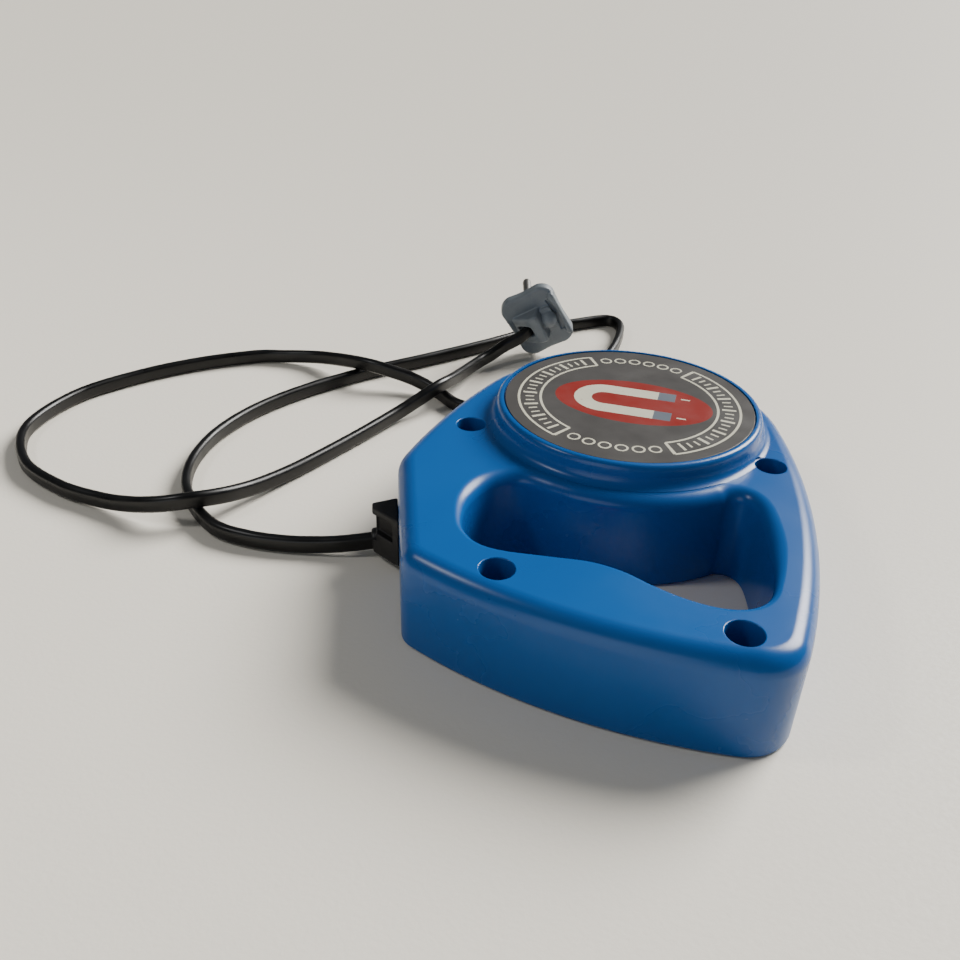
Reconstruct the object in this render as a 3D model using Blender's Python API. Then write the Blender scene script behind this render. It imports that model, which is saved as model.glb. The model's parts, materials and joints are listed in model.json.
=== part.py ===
"""Hand-held mains demagnetizer: a blue plastic body with a round head over an AC coil and a hand opening,
a black flat cord and a right-angled plug.

The frame is in metres with +Z up. The origin is the centre of the round head on the underside, and +Y runs
from the handle to the head. Sizes below are in millimetres and are scaled once, where a mesh is made.
"""

import math

import bmesh
import bpy
import numpy as np
from mathutils import Matrix, Vector

MM = 0.001
GAP = 0.3  # clearance kept between pieces that touch
WALL = 2.5

# Body: corner circles of the plan outline, counter-clockwise, as (centre, radius, radius of the long arc that
# runs on to the next corner).
CORNERS = (
    ((-1.5, 0.0), 57.0, 270.0),
    ((-47.6, -46.0), 20.0, 3000.0),
    ((-41.7, -94.6), 8.0, 180.0),
    ((47.6, -100.9), 15.0, 270.0),
)
BODY_TOP = 33.0
TOP_FILLET = 6.0
BOTTOM_FILLET = 1.5
CEILING = 30.5
FLAT_START, FLAT_END = (-67.0, -51.0), (-49.0, -97.5)  # the straight side that the cord leaves

# Hand opening: the head's side is an arc about the head's centre, and the rest a smooth curve through points.
OPENING_ARC_RADIUS = 53.5
OPENING_ARC_DEGREES = (-48.0, -107.0)
OPENING_POINTS = (
    (-25.5, -48.8), (-32.2, -51.6), (-36.6, -57.6), (-38.2, -68.0), (-36.4, -79.5), (-33.2, -85.0),
    (-28.2, -88.6), (-21.0, -89.6), (-8.0, -88.2), (3.0, -87.1), (12.5, -88.7), (21.0, -92.4),
    (30.0, -95.4), (39.0, -96.4), (46.5, -94.2), (51.3, -88.2), (52.4, -78.0), (51.2, -64.0),
    (49.4, -52.0), (46.8, -42.5), (43.0, -37.6), (38.6, -37.4),
)
OPENING_FILLET = 3.5
OPENING_STEPS = 96

# Head.
DOME_TOP = 40.5
DOME_PROFILE = (
    (48.6, 31.0), (48.6, 33.0), (47.3, 33.6), (46.6, 34.7), (46.2, 36.5), (45.9, 39.2), (45.5, 40.2),
    (44.7, 40.5),
)
RECESS_RADIUS, RECESS_FLOOR = 43.7, 39.5
LABEL_RADIUS, LABEL_THICKNESS = 43.2, 0.5
DOME_INNER_RADIUS, DOME_CEILING = 43.3, 37.2

# Case screws stand in four deep wells.
WELLS = ((-51.0, -21.4), (50.0, -17.1), (-20.5, -99.6), (45.3, -106.0))
WELL_RADIUS, WELL_TUBE_RADIUS = 5.0, 7.3
WELL_FLOOR, WELL_TUBE_BOTTOM = 9.0, 6.5

# Base plate.
PLATE_TOP = 2.5
PLATE_EDGE = WALL + GAP
BOSS_TOP = WELL_TUBE_BOTTOM - GAP

# Magnet: an EI-48 stack with its poles down.
CORE_WIDTH, CORE_STACK = 48.0, 30.0
CORE_BOTTOM, CORE_TOP = 3.2, 35.2
CORE_MODULE = 8.0  # outer leg, window and yoke; the centre leg is two of these
BOBBIN_WALL = 1.0
BOBBIN_BOTTOM, BOBBIN_TOP = 3.6, 26.8
STRAP_WIDTH, STRAP_SHEET = 12.0, 1.2
STRAP_FOOT_BOTTOM, STRAP_FOOT_END, STRAP_SCREW_X = 9.5, 37.0, 31.0

# Trigger and switch, in the handle bar.
TRIGGER_X, TRIGGER_Z = 2.0, 16.0
TRIGGER_SIZE = (20.0, 12.0)
TRIGGER_FACE, TRIGGER_BACK, TRIGGER_FLANGE = -84.1, -92.4, 1.5
TRIGGER_STEM_END = -96.6
TRIGGER_TRAVEL = 2.0
PLUNGER_RADIUS, PLUNGER_TIP, PLUNGER_END = 1.2, -96.9, -101.6
SWITCH_SIZE = (20.0, 10.0, 6.5)
SWITCH_FRONT = -99.9
SWITCH_SCREW_SPACING, SWITCH_SCREW_Y = 9.5, -106.9

# Cord clamp beside the boot.
CLAMP_CENTRE = (-53.0, -46.0)
CLAMP_HALF_LENGTH, CLAMP_HALF_WIDTH, CLAMP_THICKNESS = 9.2, 3.5, 2.5
CLAMP_SCREW_X = 6.5
TAIL_RADIUS, TAIL_Z = 3.0, 8.0

# Boot: a wedge on the flat side, with a sleeve round the cord low down.
BOOT_ALONG = (8.0, 20.5)  # along the flat, from FLAT_START
BOOT_REACH, BOOT_SLANT = 8.6, 2.2
BOOT_BOTTOM, BOOT_TOP = 3.4, 21.0
BOOT_FLANGE_ALONG, BOOT_FLANGE_THICKNESS = (7.0, 21.5), 1.7
SLEEVE_RADIUS, SLEEVE_START, SLEEVE_LENGTH = 4.2, 0.5, 5.5

# Cord: flat two-core flex, 6.2 mm wide and standing on edge, drawn as a plain tube of that width.
CORD_RADIUS = 3.1
CORD_POINTS = 80
CORD_ROUTE = (
    (-72.5, -61.4, 5.5), (-81.6, -64.8, 4.4), (-90.0, -67.0, 3.6), (-100.0, -69.3, 3.3),
    (-113.0, -70.6, 3.3), (-127.0, -68.4, 3.3), (-141.0, -58.5, 3.3), (-151.5, -46.0, 3.3),
    (-158.0, -29.0, 3.3), (-159.8, -8.0, 3.3), (-155.2, 15.5, 3.3), (-144.0, 39.5, 3.3),
    (-126.5, 65.0, 3.3), (-105.0, 89.5, 3.3), (-83.5, 115.5, 3.3), (-62.5, 143.5, 3.3),
    (-44.0, 161.5, 3.3), (-32.0, 170.0, 3.3), (-24.8, 165.0, 3.3), (-22.4, 150.0, 3.3),
    (-23.0, 128.0, 3.3), (-27.0, 102.0, 3.3), (-34.5, 78.0, 3.3), (-47.0, 56.5, 3.3),
    (-62.0, 46.0, 3.3), (-76.5, 47.8, 3.3), (-89.0, 56.8, 3.6), (-102.0, 60.5, 6.4),
    (-116.0, 60.0, 9.4), (-124.0, 60.8, 9.9), (-133.0, 63.8, 8.8), (-145.5, 68.8, 6.3),
    (-156.5, 70.8, 4.6), (-169.0, 69.4, 3.5), (-182.0, 65.0, 3.3), (-202.5, 48.5, 3.3),
    (-220.5, 26.5, 3.3), (-233.0, 0.5, 3.3), (-232.5, -30.0, 3.3), (-215.5, -52.5, 3.3),
    (-192.5, -63.0, 3.3), (-173.5, -66.3, 3.8), (-160.5, -67.6, 5.4), (-148.0, -68.0, 8.2),
    (-137.5, -64.5, 9.9), (-130.5, -56.0, 8.2), (-126.0, -44.5, 5.4), (-121.0, -31.5, 3.8),
    (-115.5, -17.5, 3.3), (-106.5, 7.0, 3.3), (-98.5, 28.5, 4.2), (-93.3, 37.5, 6.4),
    (-88.5, 44.5, 9.0), (-85.5, 50.5, 10.1), (-83.4, 60.0, 9.0), (-82.0, 76.5, 6.4),
    (-79.6, 90.5, 5.4), (-75.6, 98.2, 6.6), (-71.4, 104.5, 8.9),
)

# Plug: axes of its own, x along the cord, y from pin to pin and z along the pins.
PLUG_CENTRE = (-58.9, 118.6, 19.2)
PLUG_CORD_AXIS = (0.854, 0.152, 0.498)
PLUG_PIN_AXIS = (-0.276, 0.943, 0.186)
PLUG_FLANGE, PLUG_LOBE = (27.0, 33.0, 5.5), 6.5
PLUG_COLLAR_SIDE = ((4.5, -1.0), (2.2, -10.5), (-1.5, -10.5), (-10.5, -3.0), (-10.5, -1.0))
PLUG_COLLAR_HALF_WIDTH = 7.5
PLUG_BOSS_X, PLUG_BOSS_RADIUS, PLUG_BOSS_BACK = 5.8, 4.3, -8.2
PLUG_EDGE_LOW, PLUG_EDGE_HIGH = (10.2, -12.0, -5.2), (13.3, 12.0, -1.0)
PLUG_MOUTH = (-6.0, 0.0, -6.75)  # centre of the collar's slanted face
PLUG_MOUTH_INWARD = (0.64, 0.0, 0.77)
CORD_STRAIGHT = 4.0  # the cord's straight stretch before the mouth
PIN_RADIUS, PIN_LENGTH, PIN_SPACING, PIN_SEAT = 2.0, 19.0, 19.0, 3.0
PIN_TIP = ((1.9, -0.7), (1.4, -0.2), (0.8, 0.0))  # radius, and height above the end, round the tip

# Thermal cutout, on the coil's far side.
CUTOUT_LOW, CUTOUT_HIGH = (-7.0, 23.0, 9.0), (7.0, 27.5, 16.0)
WINDOW_Y = (-96.0, -80.0)  # the trigger window's cutter, through the wall


def material(name, colour, roughness, metallic=0.0):
    shader = bpy.data.materials.new(name)
    shader.use_nodes = True
    principled = shader.node_tree.nodes["Principled BSDF"]
    principled.inputs["Base Color"].default_value = (*colour, 1.0)
    principled.inputs["Roughness"].default_value = roughness
    principled.inputs["Metallic"].default_value = metallic
    return shader


def mesh_object(name, bm, finish=None):
    """An object from a bmesh that is in millimetres."""
    bmesh.ops.scale(bm, vec=(MM, MM, MM), verts=bm.verts)
    bmesh.ops.recalc_face_normals(bm, faces=bm.faces)
    mesh = bpy.data.meshes.new(name)
    bm.to_mesh(mesh)
    bm.free()
    obj = bpy.data.objects.new(name, mesh)
    bpy.context.scene.collection.objects.link(obj)
    if finish:
        mesh.materials.append(finish)
        mesh.shade_smooth()
        mesh.set_sharp_from_angle(angle=math.radians(35))
    else:
        obj.hide_render = True
        obj.display_type = "WIRE"
    return obj


def boolean(obj, operation, tools):
    for tool in tools:
        modifier = obj.modifiers.new(tool.name, "BOOLEAN")
        modifier.operation = operation
        modifier.object = tool


def stacked(rings):
    """A closed solid from rings of points, lowest first, that have the same count."""
    bm = bmesh.new()
    loops = [[bm.verts.new(point) for point in ring] for ring in rings]
    count = len(loops[0])
    for low, high in zip(loops, loops[1:]):
        for i in range(count):
            j = (i + 1) % count
            bm.faces.new((low[i], low[j], high[j], high[i]))
    bm.faces.new(reversed(loops[0]))
    bm.faces.new(loops[-1])
    return bm


def prism(plan, bottom, top):
    return stacked([[(x, y, z) for x, y in plan] for z in (bottom, top)])


def block(low, high):
    bm = bmesh.new()
    bmesh.ops.create_cube(bm, size=1.0)
    size = Vector(high) - Vector(low)
    bmesh.ops.scale(bm, vec=size, verts=bm.verts)
    bmesh.ops.translate(bm, vec=(Vector(high) + Vector(low)) / 2, verts=bm.verts)
    return bm


def rounded_block(low, high, radius, segments=2):
    bm = block(low, high)
    bmesh.ops.bevel(
        bm, geom=bm.edges[:], offset=radius, segments=segments, profile=0.5, affect="EDGES", material=-1
    )
    return bm


def cylinder(x, y, bottom, top, radius, sides=24):
    bm = bmesh.new()
    bmesh.ops.create_cone(
        bm, cap_ends=True, segments=sides, radius1=radius, radius2=radius, depth=top - bottom
    )
    bmesh.ops.translate(bm, vec=(x, y, (bottom + top) / 2), verts=bm.verts)
    return bm


def turned(profile, steps):
    """A solid turned about Z from (radius, height) points that run from the lower axis to the upper."""
    bm = bmesh.new()
    low = bm.verts.new((0.0, 0.0, profile[0][1]))
    high = bm.verts.new((0.0, 0.0, profile[-1][1]))
    chain = [low] + [bm.verts.new((radius, 0.0, z)) for radius, z in profile] + [high]
    edges = [bm.edges.new(pair) for pair in zip(chain, chain[1:])]
    bmesh.ops.spin(
        bm, geom=chain + edges, cent=(0, 0, 0), axis=(0, 0, 1), angle=math.tau, steps=steps, use_merge=True
    )
    bmesh.ops.remove_doubles(bm, verts=bm.verts, dist=0.0001)
    return bm


def along_y(bm, x, z):
    """Lays a shape made about the Z axis along Y: its height z becomes the coordinate y."""
    bmesh.ops.transform(bm, matrix=Matrix.Rotation(math.radians(-90), 4, "X"), verts=bm.verts)
    bmesh.ops.translate(bm, vec=(x, 0, z), verts=bm.verts)
    return bm


def smooth_curve(points, count, closed):
    """Points at even steps of length on the Catmull-Rom curve through the given points."""
    points = [np.array(p, float) for p in points]
    if closed:
        points = [points[-1], *points, points[0], points[1]]
    else:
        points = [2 * points[0] - points[1], *points, 2 * points[-1] - points[-2]]
    fine = []
    for a, b, c, d in zip(points, points[1:], points[2:], points[3:]):
        for t in np.linspace(0, 1, 24, endpoint=False):
            square, cube = (2 * a - 5 * b + 4 * c - d) * t**2, (3 * b - a - 3 * c + d) * t**3
            fine.append((2 * b + (c - a) * t + square + cube) / 2)
    fine.append(points[-2])
    fine = np.array(fine)
    length = np.concatenate([[0], np.cumsum(np.linalg.norm(np.diff(fine, axis=0), axis=1))])
    at = np.linspace(0, length[-1], count + 1 if closed else count)
    result = np.stack([np.interp(at, length, column) for column in fine.T], axis=1)
    return result[:-1] if closed else result


def long_arc_centre(first, first_radius, second, second_radius, radius):
    """Centre of the circle that touches both corner circles from outside the body's plan."""
    first, second = np.array(first), np.array(second)
    near, far = radius - first_radius, radius - second_radius
    span = np.linalg.norm(second - first)
    along = (second - first) / span
    step = (near**2 - far**2 + span**2) / (2 * span)
    return first + along * step + np.array([-along[1], along[0]]) * math.sqrt(near**2 - step**2)


def outline_arcs():
    """The plan outline as arcs: (centre, radius, start angle, end angle, steps)."""
    count = len(CORNERS)
    centres = []
    for i, (centre, radius, long_radius) in enumerate(CORNERS):
        following = CORNERS[(i + 1) % count]
        centres.append(long_arc_centre(centre, radius, following[0], following[1], long_radius))
    arcs = []
    for i, (centre, radius, long_radius) in enumerate(CORNERS):
        into, out = np.array(centre) - centres[i - 1], np.array(centre) - centres[i]
        start = math.atan2(into[1], into[0])
        turn = (math.atan2(out[1], out[0]) - start) % math.tau
        arcs.append((np.array(centre), radius, start, start + turn, max(4, round(turn * radius / 6))))
        leave = np.array(CORNERS[(i + 1) % count][0]) - centres[i]
        start = math.atan2(out[1], out[0])
        turn = (math.atan2(leave[1], leave[0]) - start) % math.tau
        arcs.append((centres[i], long_radius, start, start + turn, 5))
    return arcs


def outline(inset=0.0):
    """The plan outline, moved inwards by inset."""
    points = []
    for centre, radius, start, end, steps in outline_arcs():
        for angle in np.linspace(start, end, steps, endpoint=False):
            points.append(centre + (radius - inset) * np.array([math.cos(angle), math.sin(angle)]))
    return points


def opening(offset=0.0):
    """The hand opening's outline, moved outwards into the wall by offset."""
    start, end = OPENING_ARC_DEGREES
    arc = [
        (OPENING_ARC_RADIUS * math.cos(math.radians(a)), OPENING_ARC_RADIUS * math.sin(math.radians(a)))
        for a in np.linspace(start, end, 6)
    ]
    plan = smooth_curve((*arc, *OPENING_POINTS), OPENING_STEPS, closed=True)
    along = np.roll(plan, -1, axis=0) - np.roll(plan, 1, axis=0)
    along /= np.linalg.norm(along, axis=1)[:, None]
    # The curve runs clockwise as the arc goes from right to left, so its left side is away from the hand.
    side = np.stack([-along[:, 1], along[:, 0]], axis=1)
    area = np.sum(plan[:, 0] * np.roll(plan[:, 1], -1) - np.roll(plan[:, 0], -1) * plan[:, 1])
    moved = plan + side * offset * (1 if area < 0 else -1)
    return moved if area > 0 else moved[::-1]


def fillet(radius, steps):
    """(inset, drop) pairs of a rounded edge, from the side wall up to the face."""
    angles = np.linspace(0, math.pi / 2, steps + 1)
    return [(radius * (1 - math.cos(a)), radius * (1 - math.sin(a))) for a in angles]


def ring(plan, z):
    return [(x, y, z) for x, y in plan]


def flat_frame():
    """Start, direction and outward normal of the straight side."""
    start, end = np.array(FLAT_START), np.array(FLAT_END)
    along = (end - start) / np.linalg.norm(end - start)
    return start, along, np.array([along[1], -along[0]])


def on_flat(along_mm, outward_mm):
    start, along, outward = flat_frame()
    return start + along * along_mm + outward * outward_mm


def make_upper_shell(finish):
    rings = [ring(outline(BOTTOM_FILLET), 0.0), ring(outline(BOTTOM_FILLET * 0.3), BOTTOM_FILLET * 0.3)]
    rings.append(ring(outline(), BOTTOM_FILLET))
    rings += [ring(outline(inset), BODY_TOP - drop) for inset, drop in fillet(TOP_FILLET, 4)]
    shell = mesh_object("upper_shell", stacked(rings), finish)

    dome = mesh_object("dome", turned(DOME_PROFILE, 72))
    recess = mesh_object("label_recess", cylinder(0, 0, RECESS_FLOOR, DOME_TOP + 2, RECESS_RADIUS, 72))
    hand = [ring(opening(1.0), -1.0), ring(opening(1.0), 0.0), ring(opening(0.0), 1.2)]
    hand += [ring(opening(inset), BODY_TOP - drop) for inset, drop in fillet(OPENING_FILLET, 4)]
    hand.append(ring(opening(OPENING_FILLET), DOME_TOP + 4))
    hand_opening = mesh_object("hand_opening", stacked(hand))
    boolean(shell, "UNION", [dome])
    boolean(shell, "DIFFERENCE", [recess, hand_opening])

    inner = [ring(outline(WALL), -1.0), ring(outline(WALL), BODY_TOP - TOP_FILLET)]
    inner += [ring(outline(WALL + 0.5), 28.6), ring(outline(WALL + 1.4), 29.8)]
    inner.append(ring(outline(WALL + 3.2), CEILING))
    cavity = mesh_object("cavity", stacked(inner))
    head_room = mesh_object("head_room", cylinder(0, 0, CEILING - 2, DOME_CEILING, DOME_INNER_RADIUS, 48))
    opening_wall = mesh_object("opening_wall", prism(opening(WALL), -3.0, DOME_TOP))
    tubes = [
        mesh_object(f"well_tube_{i}", cylinder(x, y, WELL_TUBE_BOTTOM, DOME_TOP, WELL_TUBE_RADIUS, 24))
        for i, (x, y) in enumerate(WELLS, 1)
    ]
    boolean(cavity, "UNION", [head_room])
    boolean(cavity, "DIFFERENCE", [opening_wall, *tubes])
    boolean(shell, "DIFFERENCE", [cavity])

    for i, (x, y) in enumerate(WELLS, 1):
        well = mesh_object(f"well_{i}", cylinder(x, y, WELL_FLOOR, DOME_TOP, WELL_RADIUS, 24))
        hole = mesh_object(f"well_hole_{i}", cylinder(x, y, 2.0, WELL_FLOOR + 1, 1.5 + GAP, 12))
        boolean(shell, "DIFFERENCE", [well, hole])

    half_x, half_z = TRIGGER_SIZE[0] / 2 + GAP, TRIGGER_SIZE[1] / 2 + GAP
    window = mesh_object(
        "trigger_window",
        block(
            (TRIGGER_X - half_x, WINDOW_Y[0], TRIGGER_Z - half_z),
            (TRIGGER_X + half_x, WINDOW_Y[1], TRIGGER_Z + half_z),
        ),
    )
    notch = mesh_object("boot_notch", prism(boot_neck(GAP), -2.0, BOOT_TOP - 1.2))
    boolean(shell, "DIFFERENCE", [window, notch])
    return shell


def make_base_plate(finish):
    plate = mesh_object("base_plate", prism(outline(PLATE_EDGE), 0.0, PLATE_TOP), finish)
    cutters = [mesh_object("plate_opening", prism(opening(PLATE_EDGE), -2.0, 6.0))]
    bosses = [(x, y, BOSS_TOP, 4.0, 1.5) for x, y in WELLS]
    bosses += [(side * STRAP_SCREW_X, 0.0, STRAP_FOOT_BOTTOM - GAP, 4.5, 1.5) for side in (-1, 1)]
    half = SWITCH_SCREW_SPACING / 2
    post_top = TRIGGER_Z - SWITCH_SIZE[2] / 2 - GAP
    bosses += [(TRIGGER_X + side * half, SWITCH_SCREW_Y, post_top, 2.7, 1.0) for side in (-1, 1)]
    clamp_x, clamp_y = CLAMP_CENTRE
    clamp_top = TAIL_Z + TAIL_RADIUS
    bosses += [(clamp_x + side * CLAMP_SCREW_X, clamp_y, clamp_top, 2.6, 1.2) for side in (-1, 1)]
    posts = [
        mesh_object(f"post_{i}", cylinder(x, y, 1.5, top, radius, 16))
        for i, (x, y, top, radius, _) in enumerate(bosses)
    ]
    boolean(plate, "DIFFERENCE", cutters)
    boolean(plate, "UNION", posts)
    holes = [
        mesh_object(f"post_hole_{i}", cylinder(x, y, 0.9, top + 1, screw + GAP, 12))
        for i, (x, y, top, _, screw) in enumerate(bosses)
    ]
    boolean(plate, "DIFFERENCE", holes)
    return plate


def make_label(finish):
    base = RECESS_FLOOR + GAP
    return mesh_object("round_label", cylinder(0, 0, base, base + LABEL_THICKNESS, LABEL_RADIUS, 64), finish)


def make_screw(name, x, y, seat, tip, shank, head, head_height, finish):
    """A pan-head screw, turned as one piece, with its head's underside at seat."""
    rim, top = seat + head_height * 0.6, seat + head_height
    profile = ((shank, tip), (shank, seat), (head, seat), (head, rim), (head * 0.7, top))
    bm = turned(profile, 12)
    bmesh.ops.translate(bm, vec=(x, y, 0), verts=bm.verts)
    return mesh_object(name, bm, finish)


def boot_neck(clearance):
    """Plan of the boot's neck through the wall."""
    start, end = BOOT_ALONG[0] + 1.5 - clearance, BOOT_ALONG[0] + 10.5 + clearance
    return [on_flat(start, -WALL - 2.2), on_flat(end, -WALL - 2.2), on_flat(end, 1.2), on_flat(start, 1.2)]


def make_boot(finish):
    first, last = BOOT_ALONG
    wedge = [
        on_flat(first - BOOT_SLANT, GAP), on_flat(last, GAP), on_flat(last - 1.0, 1.4),
        on_flat(first + 3.6, BOOT_REACH), on_flat(first + 0.6, BOOT_REACH),
    ]
    boot = mesh_object("cord_boot", prism(wedge, BOOT_BOTTOM, BOOT_TOP), finish)
    neck = mesh_object("boot_neck", prism(boot_neck(0.0), PLATE_TOP + GAP, BOOT_TOP - 1.5))
    start, end = BOOT_FLANGE_ALONG
    near, far = -WALL - GAP, -WALL - GAP - BOOT_FLANGE_THICKNESS
    inside = [on_flat(start, near), on_flat(end, near), on_flat(end, far), on_flat(start, far)]
    flange = mesh_object("boot_flange", prism(inside, PLATE_TOP + GAP, BOOT_TOP - 3.0))
    exit_point, inward = Vector(CORD_ROUTE[0]), Vector(CORD_ROUTE[0]) - Vector(CORD_ROUTE[1])
    sleeve = cylinder(0, 0, SLEEVE_START, SLEEVE_START + SLEEVE_LENGTH, SLEEVE_RADIUS, 16)
    turn = inward.to_track_quat("Z", "Y").to_matrix().to_4x4()
    bmesh.ops.transform(sleeve, matrix=Matrix.Translation(exit_point) @ turn, verts=sleeve.verts)
    boolean(boot, "UNION", [neck, flange, mesh_object("boot_sleeve", sleeve)])
    return boot


def make_core(finish):
    half, depth = CORE_WIDTH / 2, CORE_STACK / 2
    yoke = CORE_TOP - CORE_MODULE
    leg, pole = half - CORE_MODULE, CORE_MODULE
    side = [
        (-half, CORE_BOTTOM), (-leg, CORE_BOTTOM), (-leg, yoke), (-pole, yoke), (-pole, CORE_BOTTOM),
        (pole, CORE_BOTTOM), (pole, yoke), (leg, yoke), (leg, CORE_BOTTOM), (half, CORE_BOTTOM),
        (half, CORE_TOP), (-half, CORE_TOP),
    ]
    bm = stacked([[(x, y, z) for x, z in side] for y in (depth, -depth)])
    return mesh_object("core_laminations", bm, finish)


def hollow_block(name, low, high, inner_low, inner_high, finish):
    piece = mesh_object(name, block(low, high), finish)
    boolean(piece, "DIFFERENCE", [mesh_object(name + "_bore", block(inner_low, inner_high))])
    return piece


def make_coil(bobbin_finish, copper, tape_finish):
    tube_x = CORE_MODULE + GAP + BOBBIN_WALL
    tube_y = CORE_STACK / 2 + GAP + BOBBIN_WALL
    flange_x, flange_y = 2 * CORE_MODULE - GAP, CORE_STACK / 2 + CORE_MODULE - GAP
    low, high = (-tube_x, -tube_y, BOBBIN_BOTTOM), (tube_x, tube_y, BOBBIN_TOP)
    bobbin = mesh_object("coil_bobbin", block(low, high), bobbin_finish)
    ends = []
    for i, z in enumerate((BOBBIN_BOTTOM - 0.1, BOBBIN_TOP - BOBBIN_WALL + 0.1)):
        end = block((-flange_x, -flange_y, z), (flange_x, flange_y, z + BOBBIN_WALL))
        ends.append(mesh_object(f"bobbin_end_{i}", end))
    boolean(bobbin, "UNION", ends)
    hole_x, hole_y = CORE_MODULE + GAP, CORE_STACK / 2 + GAP
    hole = block((-hole_x, -hole_y, 0), (hole_x, hole_y, DOME_TOP))
    boolean(bobbin, "DIFFERENCE", [mesh_object("bobbin_hole", hole)])

    low, high = BOBBIN_BOTTOM + BOBBIN_WALL + GAP, BOBBIN_TOP - BOBBIN_WALL - GAP
    wound_x, wound_y = flange_x - 1.2, flange_y - 1.2
    bore_x, bore_y = tube_x + GAP, tube_y + GAP
    hollow_block(
        "coil_winding", (-wound_x, -wound_y, low), (wound_x, wound_y, high),
        (-bore_x, -bore_y, low - 1), (bore_x, bore_y, high + 1), copper,
    )
    tape_x, tape_y = wound_x + GAP, wound_y + GAP
    hollow_block(
        "coil_tape", (-tape_x - 0.6, -tape_y - 0.6, low + 1), (tape_x + 0.6, tape_y + 0.6, high - 1),
        (-tape_x, -tape_y, low - 1), (tape_x, tape_y, high + 1), tape_finish,
    )


def make_strap(finish):
    inner, half = CORE_WIDTH / 2 + GAP, STRAP_WIDTH / 2
    outer, top, foot = inner + STRAP_SHEET, CORE_TOP + GAP, STRAP_FOOT_BOTTOM
    side = [
        (-STRAP_FOOT_END, foot), (-inner, foot), (-inner, top), (inner, top), (inner, foot),
        (STRAP_FOOT_END, foot),
        (STRAP_FOOT_END, foot + STRAP_SHEET), (outer, foot + STRAP_SHEET), (outer, top + STRAP_SHEET),
        (-outer, top + STRAP_SHEET), (-outer, foot + STRAP_SHEET), (-STRAP_FOOT_END, foot + STRAP_SHEET),
    ]
    sheet = stacked([[(x, y, z) for x, z in side] for y in (half, -half)])
    strap = mesh_object("core_strap", sheet, finish)
    holes = [
        mesh_object(f"strap_hole_{i}", cylinder(x, 0, foot - 1, foot + STRAP_SHEET + 1, 1.5 + GAP, 16))
        for i, x in enumerate((-STRAP_SCREW_X, STRAP_SCREW_X))
    ]
    boolean(strap, "DIFFERENCE", holes)


def make_trigger(finish):
    half_x, half_z = TRIGGER_SIZE[0] / 2, TRIGGER_SIZE[1] / 2
    cap = rounded_block(
        (TRIGGER_X - half_x, TRIGGER_BACK - 0.5, TRIGGER_Z - half_z),
        (TRIGGER_X + half_x, TRIGGER_FACE, TRIGGER_Z + half_z), 1.2,
    )
    flange = block(
        (TRIGGER_X - half_x - 2, TRIGGER_BACK - TRIGGER_FLANGE, TRIGGER_Z - half_z - 2),
        (TRIGGER_X + half_x + 2, TRIGGER_BACK, TRIGGER_Z + half_z + 2),
    )
    trigger = mesh_object("trigger_button", cap, finish)
    stem = along_y(cylinder(0, 0, TRIGGER_STEM_END, TRIGGER_BACK - 0.5, 2.2, 16), TRIGGER_X, TRIGGER_Z)
    boolean(trigger, "UNION", [mesh_object("trigger_flange", flange), mesh_object("trigger_stem", stem)])


def make_switch(body_finish, plunger_finish):
    width, depth, height = SWITCH_SIZE
    body = mesh_object(
        "switch_body",
        block(
            (TRIGGER_X - width / 2, SWITCH_FRONT - depth, TRIGGER_Z - height / 2),
            (TRIGGER_X + width / 2, SWITCH_FRONT, TRIGGER_Z + height / 2),
        ),
        body_finish,
    )
    bore_end = PLUNGER_END - TRIGGER_TRAVEL - 0.4
    bore = cylinder(0, 0, bore_end, SWITCH_FRONT + 1, PLUNGER_RADIUS + GAP, 16)
    bore = along_y(bore, TRIGGER_X, TRIGGER_Z)
    holes = []
    for i, side in enumerate((-1, 1)):
        x = TRIGGER_X + side * SWITCH_SCREW_SPACING / 2
        hole = cylinder(x, SWITCH_SCREW_Y, TRIGGER_Z - height, TRIGGER_Z + height, 1.0 + GAP, 12)
        holes.append(mesh_object(f"switch_hole_{i}", hole))
    boolean(body, "DIFFERENCE", [mesh_object("plunger_bore", bore), *holes])
    plunger = along_y(cylinder(0, 0, PLUNGER_END, PLUNGER_TIP, PLUNGER_RADIUS, 16), TRIGGER_X, TRIGGER_Z)
    mesh_object("switch_plunger", plunger, plunger_finish)


def make_clamp(finish):
    x, y = CLAMP_CENTRE
    bottom = TAIL_Z + TAIL_RADIUS + GAP
    low = (x - CLAMP_HALF_LENGTH, y - CLAMP_HALF_WIDTH, bottom)
    high = (x + CLAMP_HALF_LENGTH, y + CLAMP_HALF_WIDTH, bottom + CLAMP_THICKNESS)
    bar = mesh_object("cord_clamp", block(low, high), finish)
    holes = []
    for i, side in enumerate((-1, 1)):
        hole = cylinder(x + side * CLAMP_SCREW_X, y, bottom - 1, bottom + 4, 1.2 + GAP, 12)
        holes.append(mesh_object(f"clamp_hole_{i}", hole))
    boolean(bar, "DIFFERENCE", holes)


def make_tube(name, points, radius, finish, resolution=2):
    """A round tube along points, as a curve with a bevel and filled caps."""
    curve = bpy.data.curves.new(name, "CURVE")
    curve.dimensions = "3D"
    curve.bevel_depth = radius * MM
    curve.bevel_resolution = resolution
    curve.use_fill_caps = True
    spline = curve.splines.new("POLY")
    spline.points.add(len(points) - 1)
    for control, point in zip(spline.points, points):
        control.co = (*(Vector(point) * MM), 1.0)
    obj = bpy.data.objects.new(name, curve)
    bpy.context.scene.collection.objects.link(obj)
    curve.materials.append(finish)
    return obj


def plug_matrix():
    along = Vector(PLUG_CORD_AXIS).normalized()
    pins = Vector(PLUG_PIN_AXIS)
    pins = (pins - along * pins.dot(along)).normalized()
    across = pins.cross(along)
    turn = Matrix((along, across, pins)).transposed().to_4x4()
    return Matrix.Translation(Vector(PLUG_CENTRE) * MM) @ turn


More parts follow.
